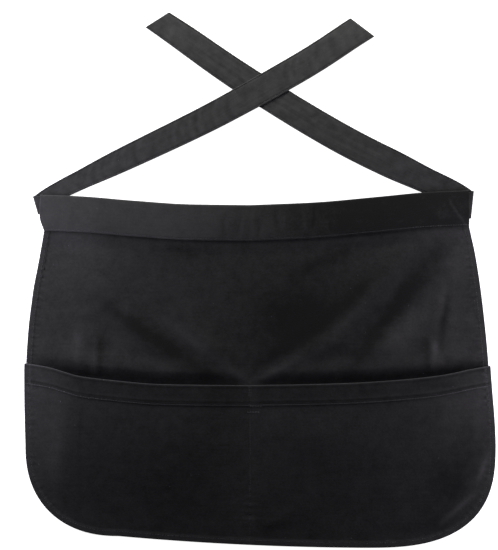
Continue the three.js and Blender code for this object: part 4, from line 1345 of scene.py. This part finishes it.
def pocket_lines(pattern):
    """Stitch lines of the pocket's hem, rim and middle, and apart from them its seam."""
    pocket = pattern.pocket
    rows = 100
    hem = edge_line(pattern, pattern.rim, pattern.half_skirt, pocket.overhang, HEM_LINE, 0.002, 0.002)
    past_hem, over_seam, tack_long, pair_long, pair_apart = 3 * MM, 1 * MM, 14 * MM, 12 * MM, 1.1
    across = np.linspace(hem[0, 0] - past_hem, hem[-1, 0] + past_hem, 500)
    rim = np.column_stack([across, pattern.rim(across) - pocket.rim + RIM_STITCHES])
    down = np.linspace(float(pattern.rim(0.0)) - over_seam, float(hem[:, 1].min()), rows)
    seam = np.column_stack([0 * down, down])
    tack = np.array([[-over_seam, 0], [tack_long, 0]]) + (0, rim[:, 1].min() - 1.4 * MM)
    lower = tack + (-3 * MM, -6.6 * MM)
    short = np.linspace(down[0], down[0] - pair_long, 8)
    pair = [np.column_stack([[side * MM] * len(short), short]) for side in (-pair_apart, pair_apart)]
    tacks = [line + (0, shift * MM) for line in (tack, lower) for shift in (-0.5, 0, 0.5)]
    return [hem, rim, *pair, *tacks], [seam]


def tie_lines(pattern, name):
    """Stitch lines along both edges of a tie and across its free end."""
    side, _, length, _, _ = pattern.tie_size(name)
    steps = 400
    along = np.arange(steps + 1) / steps
    course = pattern.tie_course(name, steps)
    cross, turned, half = pattern.tie_across(name, along)
    set_back = (half - TIE_STITCHES) / np.cos(turned)
    keep = (along * length > 1.5 * MM) & ((1 - along) * length > TIE_STITCHES)
    upper, lower = course + cross * set_back[:, None], course - cross * set_back[:, None]
    last = np.flatnonzero(keep)[-1]
    end = np.linspace(0, 1, 20)[:, None]
    lines = [upper[keep], lower[keep], mix(upper[last], lower[last], end)]
    return [line * (side, 1) for line in lines]


def finish_stitches(pattern, name, cloth_piece, lines, from_above=True, share=1.0):
    """Makes a piece's stitches and gives them thread and slot."""
    piece = make_stitches(name, cloth_piece, lines, pattern.cloth, from_above)
    kind = "sewing_thread" if share == 1.0 else "darkened_thread"
    thread = bpy.data.materials.get(kind) or thread_finish(kind, share)
    return settle_piece(piece, None, thread)


class APRON_OT_skirt(bpy.types.Operator):
    """Make the skirt with its folds and stitched hems"""
    bl_idname = "apron.skirt"
    bl_label = "Skirt"

    def execute(self, context):
        pattern = Pattern(context.scene)
        piece, area = make_skirt(pattern)
        settle_piece(piece, "skirt", twill("skirt_twill"))
        laid(SKIRT_FLAT, area)
        line = edge_line(pattern, pattern.skirt_top, pattern.half_band, 0.0, HEM_LINE, 0.02, 0.02)
        finish_stitches(pattern, "skirt_stitches", piece, [line])
        finish_stitches(pattern, "skirt_back_stitches", piece, [line], False)
        return {"FINISHED"}


class APRON_OT_pocket(bpy.types.Operator):
    """Make the pocket panel with its rim, middle seam and stitches"""
    bl_idname = "apron.pocket"
    bl_label = "Pocket Panel"

    def execute(self, context):
        pattern = Pattern(context.scene)
        piece, area = make_pocket(pattern)
        settle_piece(piece, "pocket_panel", twill("pocket_twill"))
        laid(POCKET_FLAT, area)
        lines, seam = pocket_lines(pattern)
        finish_stitches(pattern, "pocket_stitches", piece, lines)
        finish_stitches(pattern, "pocket_seam_stitches", piece, seam, share=DARKENED_THREAD)
        return {"FINISHED"}


class APRON_OT_waistband(bpy.types.Operator):
    """Make the waistband, folded over the skirt's upper edge"""
    bl_idname = "apron.waistband"
    bl_label = "Waistband"

    def execute(self, context):
        pattern = Pattern(context.scene)
        piece, girth = make_band(pattern)
        settle_piece(piece, "waistband", twill("band_twill"))
        band = pattern.band
        wide = band.left + band.right
        slanted_ends = 4 * MM
        laid((wide + slanted_ends, girth), wide * girth)
        x = np.linspace(-band.left + BAND_STITCHES, band.right - BAND_STITCHES, 500)
        seam = np.column_stack([x, pattern.seam(x) + BAND_STITCHES])
        finish_stitches(pattern, "waistband_stitches", piece, [seam])
        finish_stitches(pattern, "waistband_back_stitches", piece, [seam], False)
        return {"FINISHED"}


class APRON_OT_ties(bpy.types.Operator):
    """Make the two ties, the left one laid over the right one"""
    bl_idname = "apron.ties"
    bl_label = "Ties"

    def execute(self, context):
        pattern = Pattern(context.scene)
        round_fold = 5 * MM
        for name in TIE_LINES:
            piece = make_tie(pattern, name)
            settle_piece(piece, name + "_tie", twill(name + "_tie_twill"))
            length = pattern.tie_size(name)[2] + pattern.ties.inside + round_fold
            width = pattern.ties.width
            share = np.mean(follow(TIE_LINES[name], "along", "width", np.linspace(0, 1, 50)))
            laid((width * 1.02, length), width * length * share)
            finish_stitches(pattern, name + "_tie_stitches", piece, tie_lines(pattern, name))
        return {"FINISHED"}


class APRON_OT_stage(bpy.types.Operator):
    """Make the pale floor, the studio light and the camera"""
    bl_idname = "apron.stage"
    bl_label = "Stage"

    def execute(self, context):
        scene = context.scene
        studio = scene.apron_studio
        self.make_floor(scene.apron_colours.floor, studio.glow)
        for name, (place, wide, power, colour) in LIGHTS.items():
            self.add_light(name, place, wide, getattr(studio, power), colour)
        world = bpy.data.worlds.new("studio")
        world.use_nodes = True
        world.node_tree.nodes["Background"].inputs[0].default_value = (1, 1, 1, 1)
        world.node_tree.nodes["Background"].inputs[1].default_value = studio.sky
        scene.world = world
        scene.view_settings.view_transform = "Standard"
        lens = bpy.data.cameras.new("camera")
        lens.sensor_width = SENSOR
        lens.lens = SENSOR * studio.distance / studio.frame_height
        camera = put("camera", lens)
        camera.location = (studio.centre_x, studio.centre_y, studio.distance)
        scene.camera = camera
        return {"FINISHED"}

    def make_floor(self, paint, glow):
        """A wide pale floor just under the apron."""
        width, under_apron = 12, 0.0004
        bpy.ops.object.select_all(action="DESELECT")
        bpy.ops.mesh.primitive_plane_add(size=width, location=(0, 0, -under_apron))
        floor = bpy.context.object
        floor.name = "floor"
        finish = Finish("floor_paint")
        place = finish.node("ShaderNodeTexCoord", {}, {}).outputs["Object"]
        cloud = finish.noise(place, 3.0, 2.0)
        darker = tuple(0.97 * channel for channel in paint)
        shader = finish.shader.inputs
        finish.fill(shader["Base Color"], finish.blend(cloud, opaque(darker), opaque(paint)))
        shader["Roughness"].default_value = 0.9
        shader["Specular IOR Level"].default_value = 0.1
        shader["Emission Color"].default_value = (1, 1, 1, 1)
        shader["Emission Strength"].default_value = glow
        floor.data.materials.append(finish.material)
        floor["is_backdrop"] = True

    def add_light(self, name, place, wide, power, colour):
        """A soft strip light that faces the middle of the apron."""
        lamp = bpy.data.lights.new(name, "AREA")
        lamp.shape = "RECTANGLE"
        lamp.size, lamp.size_y = wide
        lamp.energy = power
        lamp.color = colour
        light = put(name, lamp)
        light.location = place
        aim = Vector(LIT_POINT) - light.location
        light.rotation_euler = aim.to_track_quat("-Z", "Y").to_euler()
        light.visible_camera = False


class APRON_PT_panel(bpy.types.Panel):
    """Sizes, colours and steps of the waist apron"""
    bl_idname = "APRON_PT_panel"
    bl_label = "Waist Apron"
    bl_space_type = "VIEW_3D"
    bl_region_type = "UI"
    bl_category = "Apron"

    def draw(self, context):
        for step in STEPS:
            self.layout.operator(step.bl_idname)
        for group, kind in GROUPS.items():
            box = self.layout.box()
            box.label(text=kind.__doc__)
            for key in kind.__annotations__:
                box.prop(getattr(context.scene, group), key)


STEPS = (APRON_OT_stage, APRON_OT_skirt, APRON_OT_pocket, APRON_OT_waistband, APRON_OT_ties)


def register():
    """Adds the classes, and their values to the scene."""
    for kind in (*GROUPS.values(), *STEPS, APRON_PT_panel):
        bpy.utils.register_class(kind)
    for name, kind in GROUPS.items():
        setattr(bpy.types.Scene, name, bpy.props.PointerProperty(type=kind))


def unregister():
    """Takes the values and the classes away again."""
    for name in GROUPS:
        delattr(bpy.types.Scene, name)
    for kind in reversed((*GROUPS.values(), *STEPS, APRON_PT_panel)):
        bpy.utils.unregister_class(kind)


def corners():
    """The lowest and highest corners of all that shows."""
    return [[float(value) for value in corner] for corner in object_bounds()]


def main():
    """Makes the apron."""
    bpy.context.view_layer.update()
    register()
    bpy.ops.apron.stage()
    bpy.ops.apron.skirt()
    bpy.ops.apron.pocket()
    bpy.ops.apron.waistband()
    bpy.ops.apron.ties()


if __name__ == "__main__":
    main()
